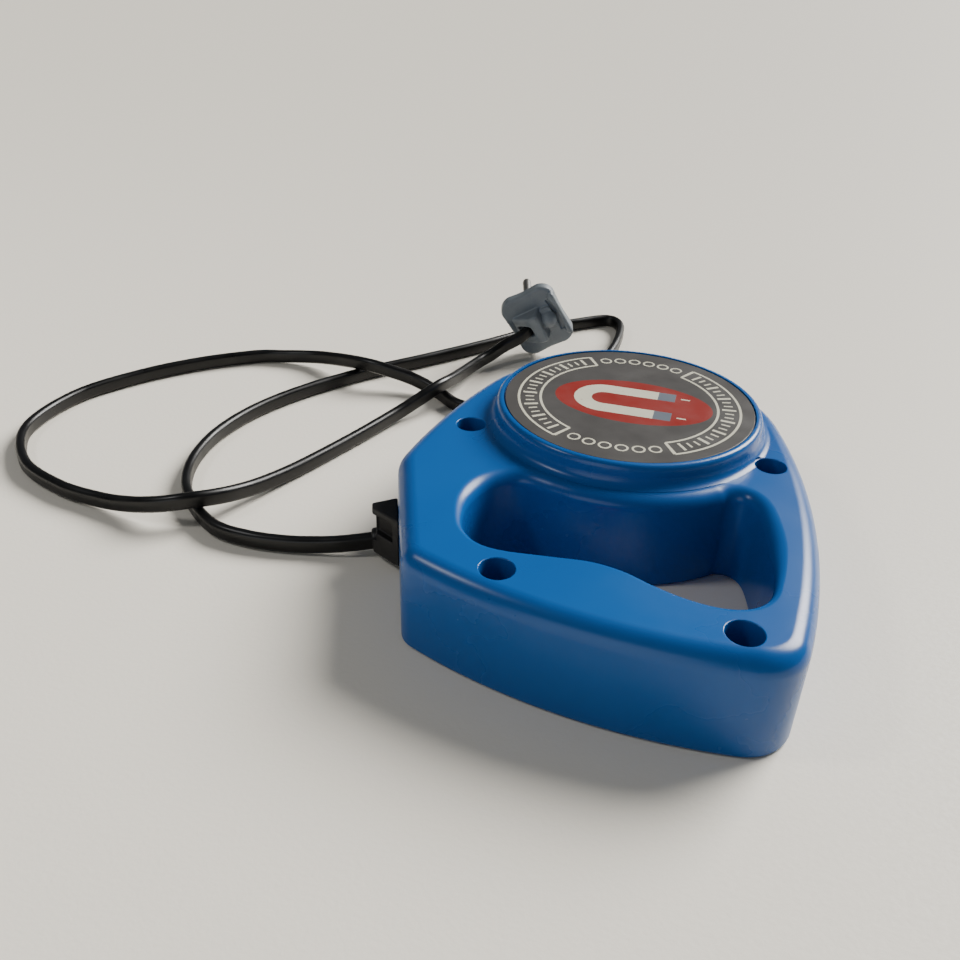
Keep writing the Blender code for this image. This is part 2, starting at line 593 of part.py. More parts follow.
def make_plug(body_finish, pin_finish):
    """A lobed flange with a collar for the cord, a boss and a raised edge on its back, and two round pins."""
    place = plug_matrix()
    length, width, thickness = (side / 2 for side in PLUG_FLANGE)
    flange = block((-length, -width, -thickness), (length, width, thickness))
    corners = [e for e in flange.edges if abs((e.verts[0].co - e.verts[1].co).z) > 1]
    bmesh.ops.bevel(
        flange, geom=corners, offset=PLUG_LOBE, segments=4, profile=0.5, affect="EDGES", material=-1
    )
    body = mesh_object("plug_body", flange, body_finish)
    half = PLUG_COLLAR_HALF_WIDTH
    collar = stacked([[(x, y, z) for x, z in PLUG_COLLAR_SIDE] for y in (half, -half)])
    collar = mesh_object("plug_collar", collar)
    boss = mesh_object("plug_boss", cylinder(PLUG_BOSS_X, 0, PLUG_BOSS_BACK, -1.0, PLUG_BOSS_RADIUS, 20))
    edge = mesh_object("plug_edge", rounded_block(PLUG_EDGE_LOW, PLUG_EDGE_HIGH, 1.0, 1))
    foot, end = thickness - PIN_SEAT, thickness + PIN_LENGTH
    seats, pins = [], []
    for i, side in enumerate((-1, 1), 1):
        y = side * PIN_SPACING / 2
        seat = cylinder(0, y, foot - GAP, end, PIN_RADIUS + GAP, 20)
        seats.append(mesh_object(f"pin_seat_{i}", seat))
        pin = turned([(PIN_RADIUS, foot), (PIN_RADIUS, end - 1.5), *((r, end + z) for r, z in PIN_TIP)], 20)
        bmesh.ops.translate(pin, vec=(0, y, 0), verts=pin.verts)
        pins.append(mesh_object(f"plug_pin_{i}", pin, pin_finish))
    boolean(body, "UNION", [collar, boss, edge])
    boolean(body, "DIFFERENCE", seats)
    for piece in (body, collar, boss, edge, *seats, *pins):
        piece.matrix_world = place


def cord_points():
    """The cord's centre line, from the boot to just short of the plug's mouth."""
    place = plug_matrix()
    inward = Vector(PLUG_MOUTH_INWARD).normalized()
    mouth, before = (
        place @ ((Vector(PLUG_MOUTH) - inward * back) * MM) / MM for back in (GAP, CORD_STRAIGHT)
    )
    return [*smooth_curve([*CORD_ROUTE, tuple(before)], CORD_POINTS - 1, closed=False), tuple(mouth)]


def main():
    for obj in list(bpy.data.objects):
        bpy.data.objects.remove(obj)

    blue = material("blue_plastic", (0.045, 0.19, 0.42), 0.3)
    dark_label = material("label_print", (0.06, 0.055, 0.05), 0.4)
    black = material("black_rubber", (0.012, 0.012, 0.013), 0.55)
    grey = material("plug_grey", (0.16, 0.19, 0.21), 0.5)
    steel = material("zinc_steel", (0.6, 0.6, 0.6), 0.3, 1.0)
    iron = material("silicon_steel", (0.3, 0.31, 0.33), 0.45, 1.0)
    copper = material("enamelled_copper", (0.55, 0.2, 0.08), 0.35, 1.0)
    white = material("white_nylon", (0.75, 0.75, 0.72), 0.5)
    yellow = material("yellow_tape", (0.7, 0.5, 0.06), 0.5)
    red = material("red_plastic", (0.5, 0.03, 0.03), 0.4)
    brown = material("brown_insulation", (0.13, 0.05, 0.02), 0.5)
    light_blue = material("blue_insulation", (0.03, 0.12, 0.4), 0.5)

    make_upper_shell(blue)
    make_base_plate(blue)
    make_label(dark_label)
    for i, (x, y) in enumerate(WELLS, 1):
        make_screw(f"case_screw_{i}", x, y, WELL_FLOOR + GAP, 1.6, 1.5, 2.8, 2.2, steel)
    make_boot(black)
    make_core(iron)
    make_coil(white, copper, yellow)
    make_strap(steel)
    strap_seat = STRAP_FOOT_BOTTOM + STRAP_SHEET + GAP
    for i, x in enumerate((-STRAP_SCREW_X, STRAP_SCREW_X), 1):
        make_screw(f"strap_screw_{i}", x, 0.0, strap_seat, 2.0, 1.5, 2.9, 2.2, steel)
    mesh_object("thermal_cutout", rounded_block(CUTOUT_LOW, CUTOUT_HIGH, 0.8, 1), white)

    make_trigger(red)
    make_switch(black, white)
    switch_seat = TRIGGER_Z + SWITCH_SIZE[2] / 2 + GAP
    clamp_seat = TAIL_Z + TAIL_RADIUS + CLAMP_THICKNESS + 2 * GAP
    for i, side in enumerate((-1, 1), 1):
        x = TRIGGER_X + side * SWITCH_SCREW_SPACING / 2
        make_screw(f"switch_screw_{i}", x, SWITCH_SCREW_Y, switch_seat, 4.0, 1.0, 1.9, 1.4, steel)
        x = CLAMP_CENTRE[0] + side * CLAMP_SCREW_X
        make_screw(f"clamp_screw_{i}", x, CLAMP_CENTRE[1], clamp_seat, 2.5, 1.2, 2.3, 1.6, steel)
    make_clamp(white)

    tail = (
        (*on_flat(13.0, -5.1), TAIL_Z), (-53.4, -59.2, TAIL_Z), (-51.4, -54.0, TAIL_Z),
        (-52.4, -49.0, TAIL_Z), (-53.0, -44.0, TAIL_Z), (-53.0, -39.0, TAIL_Z),
    )
    make_tube("cord_tail", smooth_curve(tail, 14, closed=False), TAIL_RADIUS, black)
    live = (
        (-51.8, -37.5, 6.5), (-45.0, -38.0, 4.6), (-42.0, -45.0, 4.1),
        (-43.0, -60.0, 4.1), (-43.5, -75.0, 4.1),
        (-41.0, -88.0, 4.1), (-34.0, -97.0, 4.1), (-28.0, -102.8, 4.1),
        (-20.5, -105.8, 4.1), (-13.0, -105.2, 6.5),
        (-9.9, -105.0, 12.0), (-9.2, -105.0, 16.5),
    )
    neutral = (
        (-52.4, -35.4, 7.5), (-46.0, -32.5, 5.0), (-34.0, -29.0, 4.1), (-24.0, -27.0, 4.6),
        (-16.5, -26.5, 6.0),
    )
    switched = (
        (13.2, -105.0, 16.5), (14.5, -105.0, 10.0), (20.0, -104.6, 4.4),
        (32.0, -104.5, 4.1), (39.6, -102.2, 4.1),
        (45.3, -100.4, 4.1), (52.0, -101.5, 4.1), (57.5, -94.0, 4.1),
        (59.6, -78.0, 4.1), (58.6, -58.0, 4.1),
        (56.2, -40.0, 4.1), (51.5, -26.0, 4.1), (43.5, -19.0, 4.1), (38.6, -6.0, 4.1), (35.0, 12.0, 4.1),
        (26.0, 25.0, 6.0), (20.0, 27.0, 8.0),
    )
    cutout = ((7.3, 25.3, 12.5), (9.6, 25.5, 12.4), (11.7, 26.0, 10.2))
    make_tube("lead_live", smooth_curve(live, 36, closed=False), 0.9, brown)
    make_tube("lead_neutral", smooth_curve(neutral, 14, closed=False), 0.9, light_blue)
    make_tube("lead_switched", smooth_curve(switched, 44, closed=False), 0.9, brown)
    make_tube("lead_cutout", smooth_curve(cutout, 6, closed=False), 0.9, brown)
    make_tube("crimp_sleeve_1", ((-16.0, -26.3, 6.2), (-9.0, -25.2, 8.0)), 1.7, white, 3)
    make_tube("crimp_sleeve_2", ((19.6, 27.1, 8.2), (12.2, 26.3, 9.6)), 1.7, white, 3)

    make_plug(grey, steel)
    make_tube("power_cord", cord_points(), CORD_RADIUS, black)


main()
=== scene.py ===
# %% [markdown]
# # A hand-held demagnetizer
#
# The object is a small mains tool for watch work. A coil under its round head makes an alternating field,
# and the hand goes through the opening behind it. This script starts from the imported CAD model, which stays
# as the fixed frame. The visible pieces are then made again with finer surfaces, each standing for its CAD
# piece, and the pieces inside keep their CAD shape and get a real finish.

# %% Load the frame
import json
import math

import bmesh
import bpy
import numpy as np
from mathutils import Matrix, Vector

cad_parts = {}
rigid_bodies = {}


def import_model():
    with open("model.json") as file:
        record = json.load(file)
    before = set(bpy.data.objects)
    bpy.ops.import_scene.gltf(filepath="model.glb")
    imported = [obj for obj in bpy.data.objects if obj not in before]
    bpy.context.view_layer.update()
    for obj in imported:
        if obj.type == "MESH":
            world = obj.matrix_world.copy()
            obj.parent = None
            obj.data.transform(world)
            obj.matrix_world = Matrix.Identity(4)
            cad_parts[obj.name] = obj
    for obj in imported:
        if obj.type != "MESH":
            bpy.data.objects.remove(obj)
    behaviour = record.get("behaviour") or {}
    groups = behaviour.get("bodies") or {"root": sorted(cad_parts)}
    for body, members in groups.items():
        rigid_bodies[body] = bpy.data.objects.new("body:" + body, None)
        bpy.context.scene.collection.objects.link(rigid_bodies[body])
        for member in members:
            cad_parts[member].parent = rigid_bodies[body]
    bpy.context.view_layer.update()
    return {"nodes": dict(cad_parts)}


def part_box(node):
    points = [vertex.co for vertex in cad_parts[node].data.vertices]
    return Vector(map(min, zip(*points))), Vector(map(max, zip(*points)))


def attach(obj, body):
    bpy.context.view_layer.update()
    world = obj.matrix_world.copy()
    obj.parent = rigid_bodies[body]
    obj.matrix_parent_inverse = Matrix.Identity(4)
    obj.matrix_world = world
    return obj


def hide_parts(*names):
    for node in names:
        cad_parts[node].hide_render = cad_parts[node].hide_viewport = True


for startup_object in list(bpy.data.objects):
    bpy.data.objects.remove(startup_object)
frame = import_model()
nodes = frame["nodes"]
MM = 0.001  # the shapes below are written in millimetres

# %% [markdown]
# ## Camera and floor
#
# The tool lies on a pale worktop, seen over the handle and a little from the right. The camera comes first,
# because the cord's coil has to suit what the camera sees. A camera's own axes are the columns of its
# matrix: right, up and back.

# %% Camera
EYE = Vector((0.02683, -0.29718, 0.183))
HEADING, PITCH, ROLL = math.radians(15), math.radians(31.06), math.radians(2.05)
LENS = 34.875

level = Vector((math.cos(HEADING), math.sin(HEADING), 0))
ahead = Vector((-math.sin(HEADING) * math.cos(PITCH), math.cos(HEADING) * math.cos(PITCH), -math.sin(PITCH)))
right = level * math.cos(ROLL) + level.cross(ahead) * math.sin(ROLL)
camera = bpy.data.objects.new("camera", bpy.data.cameras.new("camera"))
camera.data.lens = LENS
camera.data.clip_start = 0.01
axes = Matrix((right, right.cross(ahead), -ahead)).transposed()
camera.matrix_world = Matrix.Translation(EYE) @ axes.to_4x4()
bpy.context.scene.collection.objects.link(camera)
bpy.context.scene.camera = camera
print("camera", round(math.degrees(camera.data.angle), 1), "degrees wide")

# %% [markdown]
# ## Helpers for shapes
#
# Three ways of making a solid do for nearly every piece here: a loft grows one face through a row of rings,
# a turned piece spins a profile about an axis, and a carved piece is cut or joined with others by a
# Boolean. Each helper gives a bmesh in millimetres, and `place` turns it into an object in metres.


# %% Solids from rings and profiles
def loft(rings):
    """Extrudes one face through rings of points that have the same count."""
    bm = bmesh.new()
    end = bm.faces.new([bm.verts.new(point) for point in rings[0]])
    turn = {tuple(v.co): i for i, v in enumerate(end.verts)}
    for ring in rings[1:]:
        grown = bmesh.ops.extrude_face_region(bm, geom=[end])["geom"]
        old, end = end, next(part for part in grown if isinstance(part, bmesh.types.BMFace))
        if old.is_valid and len(bm.faces) > len(rings[0]) + 2:
            bm.faces.remove(old)
        order = {v: turn[tuple(v.co)] for v in end.verts}
        for v, i in order.items():
            v.co = ring[i]
        turn = {tuple(v.co): i for v, i in order.items()}
    return bm


def turned(profile, steps):
    """Spins (radius, height) points about Z, from the lower end of the axis to the upper."""
    bm = bmesh.new()
    ends = [bm.verts.new((0, 0, profile[0][1])), bm.verts.new((0, 0, profile[-1][1]))]
    chain = [ends[0], *(bm.verts.new((radius, 0, z)) for radius, z in profile), ends[1]]
    edges = [bm.edges.new(pair) for pair in zip(chain, chain[1:])]
    bmesh.ops.spin(
        bm, geom=chain + edges, cent=(0, 0, 0), axis=(0, 0, 1), angle=math.tau, steps=steps, use_merge=True
    )
    bmesh.ops.remove_doubles(bm, verts=bm.verts, dist=1e-4)
    return bm


def round_edges(bm, radius, segments):
    bmesh.ops.bevel(
        bm, geom=bm.edges[:], offset=radius, segments=segments, profile=0.5, affect="EDGES", material=-1
    )
    return bm


def moved(bm, x, y, z=0.0):
    bmesh.ops.translate(bm, vec=(x, y, z), verts=bm.verts)
    return bm


def block(low, high, radius=0.0, segments=4):
    """A box between two corners, with rounded edges."""
    bm = bmesh.new()
    low, high = Vector(low), Vector(high)
    bmesh.ops.create_cube(bm, size=1.0)
    bmesh.ops.scale(bm, vec=high - low, verts=bm.verts)
    bmesh.ops.translate(bm, vec=(low + high) / 2, verts=bm.verts)
    return round_edges(bm, radius, segments) if radius else bm


# %% Flat rings
def level_ring(plan, z):
    """A flat ring at height z; a list of heights makes it wavy."""
    heights = np.broadcast_to(z, len(plan))
    return [(x, y, height) for (x, y), height in zip(plan, heights)]


def quarter(steps):
    """(inset, drop) of a quarter round of radius 1, from the side wall up to the face."""
    return [(1 - math.cos(a), 1 - math.sin(a)) for a in np.linspace(0, math.pi / 2, steps + 1)]


def rounded_rings(plan_at, bottom, top, low_round, top_round, top_steps=4):
    """Rings of an upright solid with both edges rounded; plan_at gives its outline moved inwards."""
    rings = [level_ring(plan_at(low_round * a), bottom + low_round * b) for a, b in quarter(4)[::-1]]
    return rings + [level_ring(plan_at(top_round * a), top - top_round * b) for a, b in quarter(top_steps)]


def upright_axes(along):
    """The direction square to along that is nearest to up, and the one square to both."""
    up = (Vector((0, 0, 1)) - along * along.z).normalized()
    return up, along.cross(up)


# %% Objects and Booleans
def smooth_where_round(mesh):
    mesh.shade_smooth()
    mesh.set_sharp_from_angle(angle=math.radians(32))


def place(name, bm, matrix=None):
    """Makes an object of a bmesh in millimetres: moved, scaled to metres, and smooth where it is round."""
    bmesh.ops.transform(bm, matrix=Matrix.Scale(MM, 4) @ (matrix or Matrix.Identity(4)), verts=bm.verts)
    bmesh.ops.recalc_face_normals(bm, faces=bm.faces)
    mesh = bpy.data.meshes.new(name)
    bm.to_mesh(mesh)
    bm.free()
    smooth_where_round(mesh)
    piece = bpy.data.objects.new(name, mesh)
    bpy.context.scene.collection.objects.link(piece)
    return piece


def prism(name, plan, bottom, top):
    return place(name, loft([level_ring(plan, bottom), level_ring(plan, top)]))


def settle(piece):
    """Replaces a piece's mesh by what its modifiers make of it."""
    seen = piece.evaluated_get(bpy.context.evaluated_depsgraph_get())
    mesh = bpy.data.meshes.new_from_object(seen)
    mesh.materials.clear()
    piece.modifiers.clear()
    piece.data = mesh
    return piece


def carve(piece, steps):
    """Cuts from the piece or joins to it, step by step; each step is (operation, other piece)."""
    for operation, tool in steps:
        cut = piece.modifiers.new(tool.name, "BOOLEAN")
        cut.operation, cut.object, cut.solver = operation, tool, "MANIFOLD"
    settle(piece)
    for _, tool in steps:
        bpy.data.objects.remove(tool)
    return piece


def even_normals(piece):
    """Weights the normals by face area, so that a flat face stays flat up to its rounded edge."""
    smooth_where_round(piece.data)
    weighting = piece.modifiers.new("even_normals", "WEIGHTED_NORMAL")
    weighting.keep_sharp = True
    return settle(piece)


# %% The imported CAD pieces
def cad_box(node):
    """The lower and upper corner of a CAD piece, in millimetres."""
    return [Vector(corner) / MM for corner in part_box(node)]


def stand_for(piece, node, body="housing"):
    """The piece is shown in place of a CAD node, which it hides, and rides with its body."""
    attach(piece, body)
    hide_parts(node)
    low, high = cad_box(node)
    seen = np.array([v.co for v in piece.data.vertices]) / MM
    print(piece.name, len(piece.data.polygons), "faces, beyond its CAD piece by", end=" ")
    print(np.round(np.array(low) - seen.min(0), 1), np.round(seen.max(0) - np.array(high), 1), "mm")


# %% [markdown]
# ## Curves
#
# A moulded outline and a cord are both smooth curves through a few chosen points. The Catmull-Rom curve
# passes through every point, so the points stay easy to read, and sampling it at even steps of length keeps
# the faces even.


# %% Smooth curve
def smooth_curve(points, count, closed=False):
    """Points at even steps of length on the Catmull-Rom curve through the given points."""
    points = [np.array(p, float) for p in points]
    if closed:
        points = [points[-1], *points, points[0], points[1]]
    else:
        points = [2 * points[0] - points[1], *points, 2 * points[-1] - points[-2]]
    fine = []
    for a, b, c, d in zip(points, points[1:], points[2:], points[3:]):
        for t in np.linspace(0, 1, 40, endpoint=False):
            square, cube = (2 * a - 5 * b + 4 * c - d) * t**2, (3 * b - a - 3 * c + d) * t**3
            fine.append((2 * b + (c - a) * t + square + cube) / 2)
    fine = np.array([*fine, points[-2]])
    length = np.concatenate([[0], np.cumsum(np.linalg.norm(np.diff(fine, axis=0), axis=1))])
    at = np.linspace(0, length[-1], count + 1 if closed else count)
    even = np.stack([np.interp(at, length, column) for column in fine.T], axis=1)
    return even[:-1] if closed else even


# %% [markdown]
# ## Power cord
#
# A flat two-core flex, 6.2 mm wide and 3.8 mm thick, that lies on edge on the worktop. It crosses itself in
# long low humps and rises to the plug. Its section is two round cores side by side with a shallow groove
# between them, and the wide side stays upright all along. One loft through a ring at each step of the route
# makes it.

# %% Cord route, from the boot to the plug
CORD_ROUTE = (
    (-72.5, -61.4, 5.5), (-81.6, -64.8, 4.4), (-90.0, -67.0, 3.6), (-100.0, -69.3, 3.3),
    (-113.0, -70.6, 3.3), (-127.0, -68.4, 3.3), (-141.0, -58.5, 3.3), (-151.5, -46.0, 3.3),
    (-158.0, -29.0, 3.3), (-159.8, -8.0, 3.3), (-155.2, 15.5, 3.3), (-144.0, 39.5, 3.3),
    (-126.5, 65.0, 3.3), (-105.0, 89.5, 3.3), (-83.5, 115.5, 3.3), (-62.5, 143.5, 3.3),
    (-44.0, 161.5, 3.3), (-32.0, 170.0, 3.3), (-24.8, 165.0, 3.3), (-22.4, 150.0, 3.3),
    (-23.0, 128.0, 3.3), (-27.0, 102.0, 3.3), (-34.5, 78.0, 3.3), (-47.0, 56.5, 3.3), (-62.0, 46.0, 3.3),
    (-76.5, 47.8, 3.3), (-89.0, 56.8, 3.6), (-102.0, 60.5, 6.4), (-116.0, 60.0, 9.4), (-124.0, 60.8, 9.9),
    (-133.0, 63.8, 8.8), (-145.5, 68.8, 6.3), (-156.5, 70.8, 4.6), (-169.0, 69.4, 3.5),
    (-182.0, 65.0, 3.3), (-202.5, 48.5, 3.3), (-220.5, 26.5, 3.3), (-233.0, 0.5, 3.3),
    (-232.5, -30.0, 3.3), (-215.5, -52.5, 3.3), (-192.5, -63.0, 3.3), (-173.5, -66.3, 3.8),
    (-160.5, -67.6, 5.4), (-148.0, -68.0, 8.2), (-137.5, -64.5, 9.9), (-130.5, -56.0, 8.2),
    (-126.0, -44.5, 5.4), (-121.0, -31.5, 3.8), (-115.5, -17.5, 3.3), (-106.5, 7.0, 3.3),
    (-98.5, 28.5, 4.2), (-93.3, 37.5, 6.4), (-88.5, 44.5, 9.0), (-85.5, 50.5, 10.1), (-83.4, 60.0, 9.0),
    (-82.0, 76.5, 6.4), (-79.6, 90.5, 5.4), (-75.6, 98.2, 6.6), (-71.4, 104.5, 8.9),
)
CORD_WIDTH, CORD_THICKNESS, GROOVE = 6.2, 3.8, 0.32
CORD_STEPS = 560
print(len(CORD_ROUTE), "points on the cord's route")

# %% The plug's own axes: x along the cord, y from pin to pin, z along the pins
PLUG_CENTRE = (-58.9, 118.6, 19.2)
PLUG_CORD_AXIS, PLUG_PIN_AXIS = Vector((0.854, 0.152, 0.498)), Vector((-0.276, 0.943, 0.186))
MOUTH = Vector((-6.0, 0, -6.75))  # centre of the slanted face that the cord enters
INTO_MOUTH = Vector((0.64, 0, 0.77)).normalized()
CORD_ENTRY = Vector((0.84, 0, 0.54)).normalized()  # the cord bends gently into the mouth
CORD_APPROACH = 4.0  # where the cord starts to bend into the mouth
CORD_INSIDE = 2.6  # how far the cord is drawn inside the plug and inside the strain relief

plug_x = PLUG_CORD_AXIS.normalized()
plug_z = (PLUG_PIN_AXIS - plug_x * PLUG_PIN_AXIS.dot(plug_x)).normalized()
plug_turn = Matrix((plug_x, plug_z.cross(plug_x), plug_z)).transposed().to_4x4()
plug_place = Matrix.Translation(Vector(PLUG_CENTRE)) @ plug_turn
print("the plug's mouth is at", [round(c, 1) for c in plug_place @ MOUTH], "mm")


# %% Sweep the cord's section along the route
def cord_section():
    """(up, across) points round two touching cores, with the groove half way."""
    core = CORD_THICKNESS / 2
    apart = (CORD_WIDTH - CORD_THICKNESS) / 2
    half = [math.radians(a) for a in (-78, -60, -40, -20, 0, 20, 40, 60, 78)]  # the groove is beyond 78
    upper = [(apart + core * math.cos(a), core * math.sin(a)) for a in half]
    lower = [(-u, -v) for u, v in upper]
    return [*upper, (0, core - GROOVE), *lower, (0, GROOVE - core)]


def swept(centres, section):
    """Rings of the section that stand upright, square to the route."""
    rings = []
    for i, centre in enumerate(centres):
        along = Vector(centres[min(i + 1, len(centres) - 1)] - centres[max(i - 1, 0)]).normalized()
        up, across = upright_axes(along)
        rings.append([Vector(centre) + up * u + across * v for u, v in section])
    return rings


cord_start = Vector(CORD_ROUTE[0])
outward = (Vector(CORD_ROUTE[1]) - cord_start).normalized()
hidden_start = cord_start - outward * CORD_INSIDE
before = plug_place @ (MOUTH - CORD_ENTRY * CORD_APPROACH)
hidden_end = plug_place @ (MOUTH + CORD_ENTRY * CORD_INSIDE)
route = smooth_curve([hidden_start, *CORD_ROUTE, before, hidden_end], CORD_STEPS)
flex = place("flat_cord", loft(swept(route, cord_section())))

# %% [markdown]
# ## Body outline
#
# Seen from above, the body is four corner circles joined by long shallow arcs. Each long arc touches the
# two circles beside it, so the side has no corner anywhere. Moving the outline inwards only changes the
# radii, and that makes rounded edges and walls of even thickness easy.

# %% Body sizes
CORNERS = (  # centre, radius, radius of the arc that runs on to the next corner
    ((-1.5, 0.0), 57.0, 270.0),
    ((-47.6, -46.0), 20.0, 3000.0),
    ((-41.7, -94.6), 8.0, 180.0),
    ((47.6, -100.9), 15.0, 270.0),
)
BODY_TOP, CEILING, WALL = 33.0, 30.5, 2.5
TOP_ROUND, BOTTOM_ROUND = 6.0, 1.2
STEP = 1.2  # length of a side of the fine outline


# %% Outline from arcs
def long_arc_centre(first, first_radius, second, second_radius, radius):
    """Centre of the arc that touches two corner circles on their outer side."""
    first, second = np.array(first), np.array(second)
    near, far = radius - first_radius, radius - second_radius
    span = np.linalg.norm(second - first)
    along = (second - first) / span
    step = (near**2 - far**2 + span**2) / (2 * span)
    return first + along * step + np.array([-along[1], along[0]]) * math.sqrt(near**2 - step**2)


def body_outline(inset=0.0):
    """Points round the body, counter-clockwise, moved inwards by inset."""
    following = CORNERS[1:] + CORNERS[:1]
    centres = [
        long_arc_centre(centre, radius, after[0], after[1], long_radius)
        for (centre, radius, long_radius), after in zip(CORNERS, following)
    ]
    points = []
    for i, (centre, radius, long_radius) in enumerate(CORNERS):
        ends = [np.array(centre) - centres[i - 1], np.array(centre) - centres[i]]
        leave = np.array(following[i][0]) - centres[i]
        for middle, reach, start, stop in (
            (np.array(centre), radius, *ends), (centres[i], long_radius, ends[1], leave),
        ):
            first = math.atan2(start[1], start[0])
            turn = (math.atan2(stop[1], stop[0]) - first) % math.tau
            for angle in first + np.linspace(0, turn, max(6, round(turn * reach / STEP)), endpoint=False):
                points.append(middle + (reach - inset) * np.array([math.cos(angle), math.sin(angle)]))
    return points


print(len(body_outline()), "points round the body")

# %% [markdown]
# ## Hand opening
#
# Four fingers go through here. On the head's side the edge follows the head, and towards the handle it dips
# for the little finger. The rim is rounded generously beside the head and only a little over the handle
# bar, so the rounding's radius changes along the edge.

# %% Hand opening
OPENING_ARC, ARC_FROM, ARC_TO = 53.5, -48.0, -107.0
OPENING_POINTS = (
    (-25.5, -48.8), (-32.2, -51.6), (-36.6, -57.6), (-38.2, -68.0), (-36.4, -79.5), (-33.2, -85.0),
    (-28.2, -88.6), (-21.0, -89.6), (-8.0, -88.2), (3.0, -87.1), (12.5, -88.7), (21.0, -92.4),
    (30.0, -95.4), (39.0, -96.4), (46.5, -94.2), (51.3, -88.2), (52.4, -78.0), (51.2, -64.0),
    (49.4, -52.0), (46.8, -42.5), (43.0, -37.6), (38.6, -37.4),
)
OPENING_FOOT = ((1.0, -1.0), (1.0, 0.0), (0.3, 0.8), (0.0, 1.2))  # offset and height of its flared lower edge
RIM_BESIDE_HEAD, RIM_OVER_HANDLE = 4.6, 2.2
RIM_GROWS_FROM, RIM_GROWS_OVER = -86.0, 26.0  # along y


def opening_outline(offset=0.0, of_rim=0.0):
    """The opening, moved into the wall by offset and by a share of its rim's rounding; and that rounding."""
    arc = [
        (OPENING_ARC * math.cos(math.radians(a)), OPENING_ARC * math.sin(math.radians(a)))
        for a in np.linspace(ARC_FROM, ARC_TO, 8)
    ]
    plan = smooth_curve((*arc, *OPENING_POINTS), 300, closed=True)
    along = np.roll(plan, -1, axis=0) - np.roll(plan, 1, axis=0)
    along /= np.linalg.norm(along, axis=1)[:, None]
    outwards = np.stack([along[:, 1], -along[:, 0]], axis=1)
    share = np.clip((plan[:, 1] - RIM_GROWS_FROM) / RIM_GROWS_OVER, 0, 1)
    rim = RIM_OVER_HANDLE + (RIM_BESIDE_HEAD - RIM_OVER_HANDLE) * share * share * (3 - 2 * share)
    return plan + outwards * (offset + of_rim * rim)[:, None], rim


def opening_cutter():
    rings = [level_ring(opening_outline(offset)[0], z) for offset, z in OPENING_FOOT]
    for inset, drop in quarter(9):
        plan, rim = opening_outline(of_rim=inset)
        rings.append(level_ring(plan, BODY_TOP - rim * drop))
    plan, _ = opening_outline(of_rim=1.0)
    rings.append(level_ring(plan, BODY_TOP + 10))
    return loft(rings)


print("opening", np.round(np.ptp(opening_outline()[0], axis=0), 1), "mm")

# %% [markdown]
# ## Moulded shell
#
# The body is one glossy moulding, open underneath: rounded block, round head on top, recess for the printed
# disc, hand opening, four screw wells and the hollow inside. A Boolean cuts them, because the parts cross
# each other at odd angles. The rounded edges are in the shapes that cut, so nothing has to be bevelled
# afterwards.

# %% Head and wells
RECESS_RADIUS, RECESS_FLOOR, HEAD_TOP = 43.7, 39.5, 40.5
HEAD_PROFILE = (
    (50.2, 31.0), (50.2, 32.9), (48.9, 33.15), (47.9, 33.6), (47.1, 34.4), (46.6, 35.5), (46.3, 37.0),
    (46.15, 38.4), (45.85, 39.5), (45.3, 40.2), (44.7, 40.46), (44.2, 40.5),
)
WELLS = ((-51.0, -21.4), (50.0, -17.1), (-20.5, -99.6), (45.3, -106.0))
WELL_RADIUS, WELL_TUBE, WELL_FLOOR, WELL_TUBE_FOOT = 5.0, 7.3, 9.0, 6.5
WELL_RIM, SCREW_HOLE = 0.4, 1.8


def well_cutter(x, y):
    """A deep hole with a floor, a screw hole below it and a softly rounded rim."""
    rim = [(WELL_RADIUS + WELL_RIM * a, BODY_TOP - WELL_RIM * b) for a, b in quarter(5)]
    foot = [(SCREW_HOLE, 2.0), (SCREW_HOLE, WELL_FLOOR), (WELL_RADIUS, WELL_FLOOR)]
    profile = [*foot, *rim, (rim[-1][0], BODY_TOP + 4)]
    return place("well", moved(turned(profile, 48), x, y))


def upright_tube(x, y, bottom, top, radius, sides=32):
    return place("tube", moved(turned([(radius, bottom), (radius, top)], sides), x, y))


# %% Outer form
outer = rounded_rings(body_outline, 0.0, BODY_TOP, BOTTOM_ROUND, TOP_ROUND, 12)
shell = place("moulded_shell", loft(outer))
head = place("head", turned(HEAD_PROFILE, 180))
recess = place("recess", turned([(RECESS_RADIUS, RECESS_FLOOR), (RECESS_RADIUS, HEAD_TOP + 2)], 180))
carve(shell, [("UNION", head), ("DIFFERENCE", recess), ("DIFFERENCE", place("hand", opening_cutter()))])
print("outer form", len(shell.data.polygons), "faces")

# %% Hollow inside, which leaves a wall round the opening and round each well
HOLLOW_PROFILE = ((0.0, -1.0), (0.0, 27.0), (0.5, 28.6), (1.4, 29.8), (3.2, CEILING))  # inset, height
HEAD_ROOM_RADIUS, HEAD_ROOM_TOP = 43.3, 37.2
hollow_rings = [level_ring(body_outline(WALL + inset), z) for inset, z in HOLLOW_PROFILE]
hollow = place("hollow", loft(hollow_rings))
head_room = place("head_room", turned([(HEAD_ROOM_RADIUS, z) for z in (CEILING - 2, HEAD_ROOM_TOP)], 90))
opening_wall = prism("opening_wall", opening_outline(WALL)[0], -3, 45)
tubes = [("DIFFERENCE", upright_tube(x, y, WELL_TUBE_FOOT, 45, WELL_TUBE)) for x, y in WELLS]
carve(hollow, [("UNION", head_room), ("DIFFERENCE", opening_wall), *tubes])
carve(shell, [("DIFFERENCE", hollow), *(("DIFFERENCE", well_cutter(x, y)) for x, y in WELLS)])
print("hollow shell", len(shell.data.polygons), "faces")

# %% [markdown]
# ## Trigger window and cord notch
#
# The trigger comes through a window in the wall that the fingertips meet. On the straight side, a notch
# takes the strain relief's neck. The window's place is read from the CAD trigger, with the running
# clearance round it.

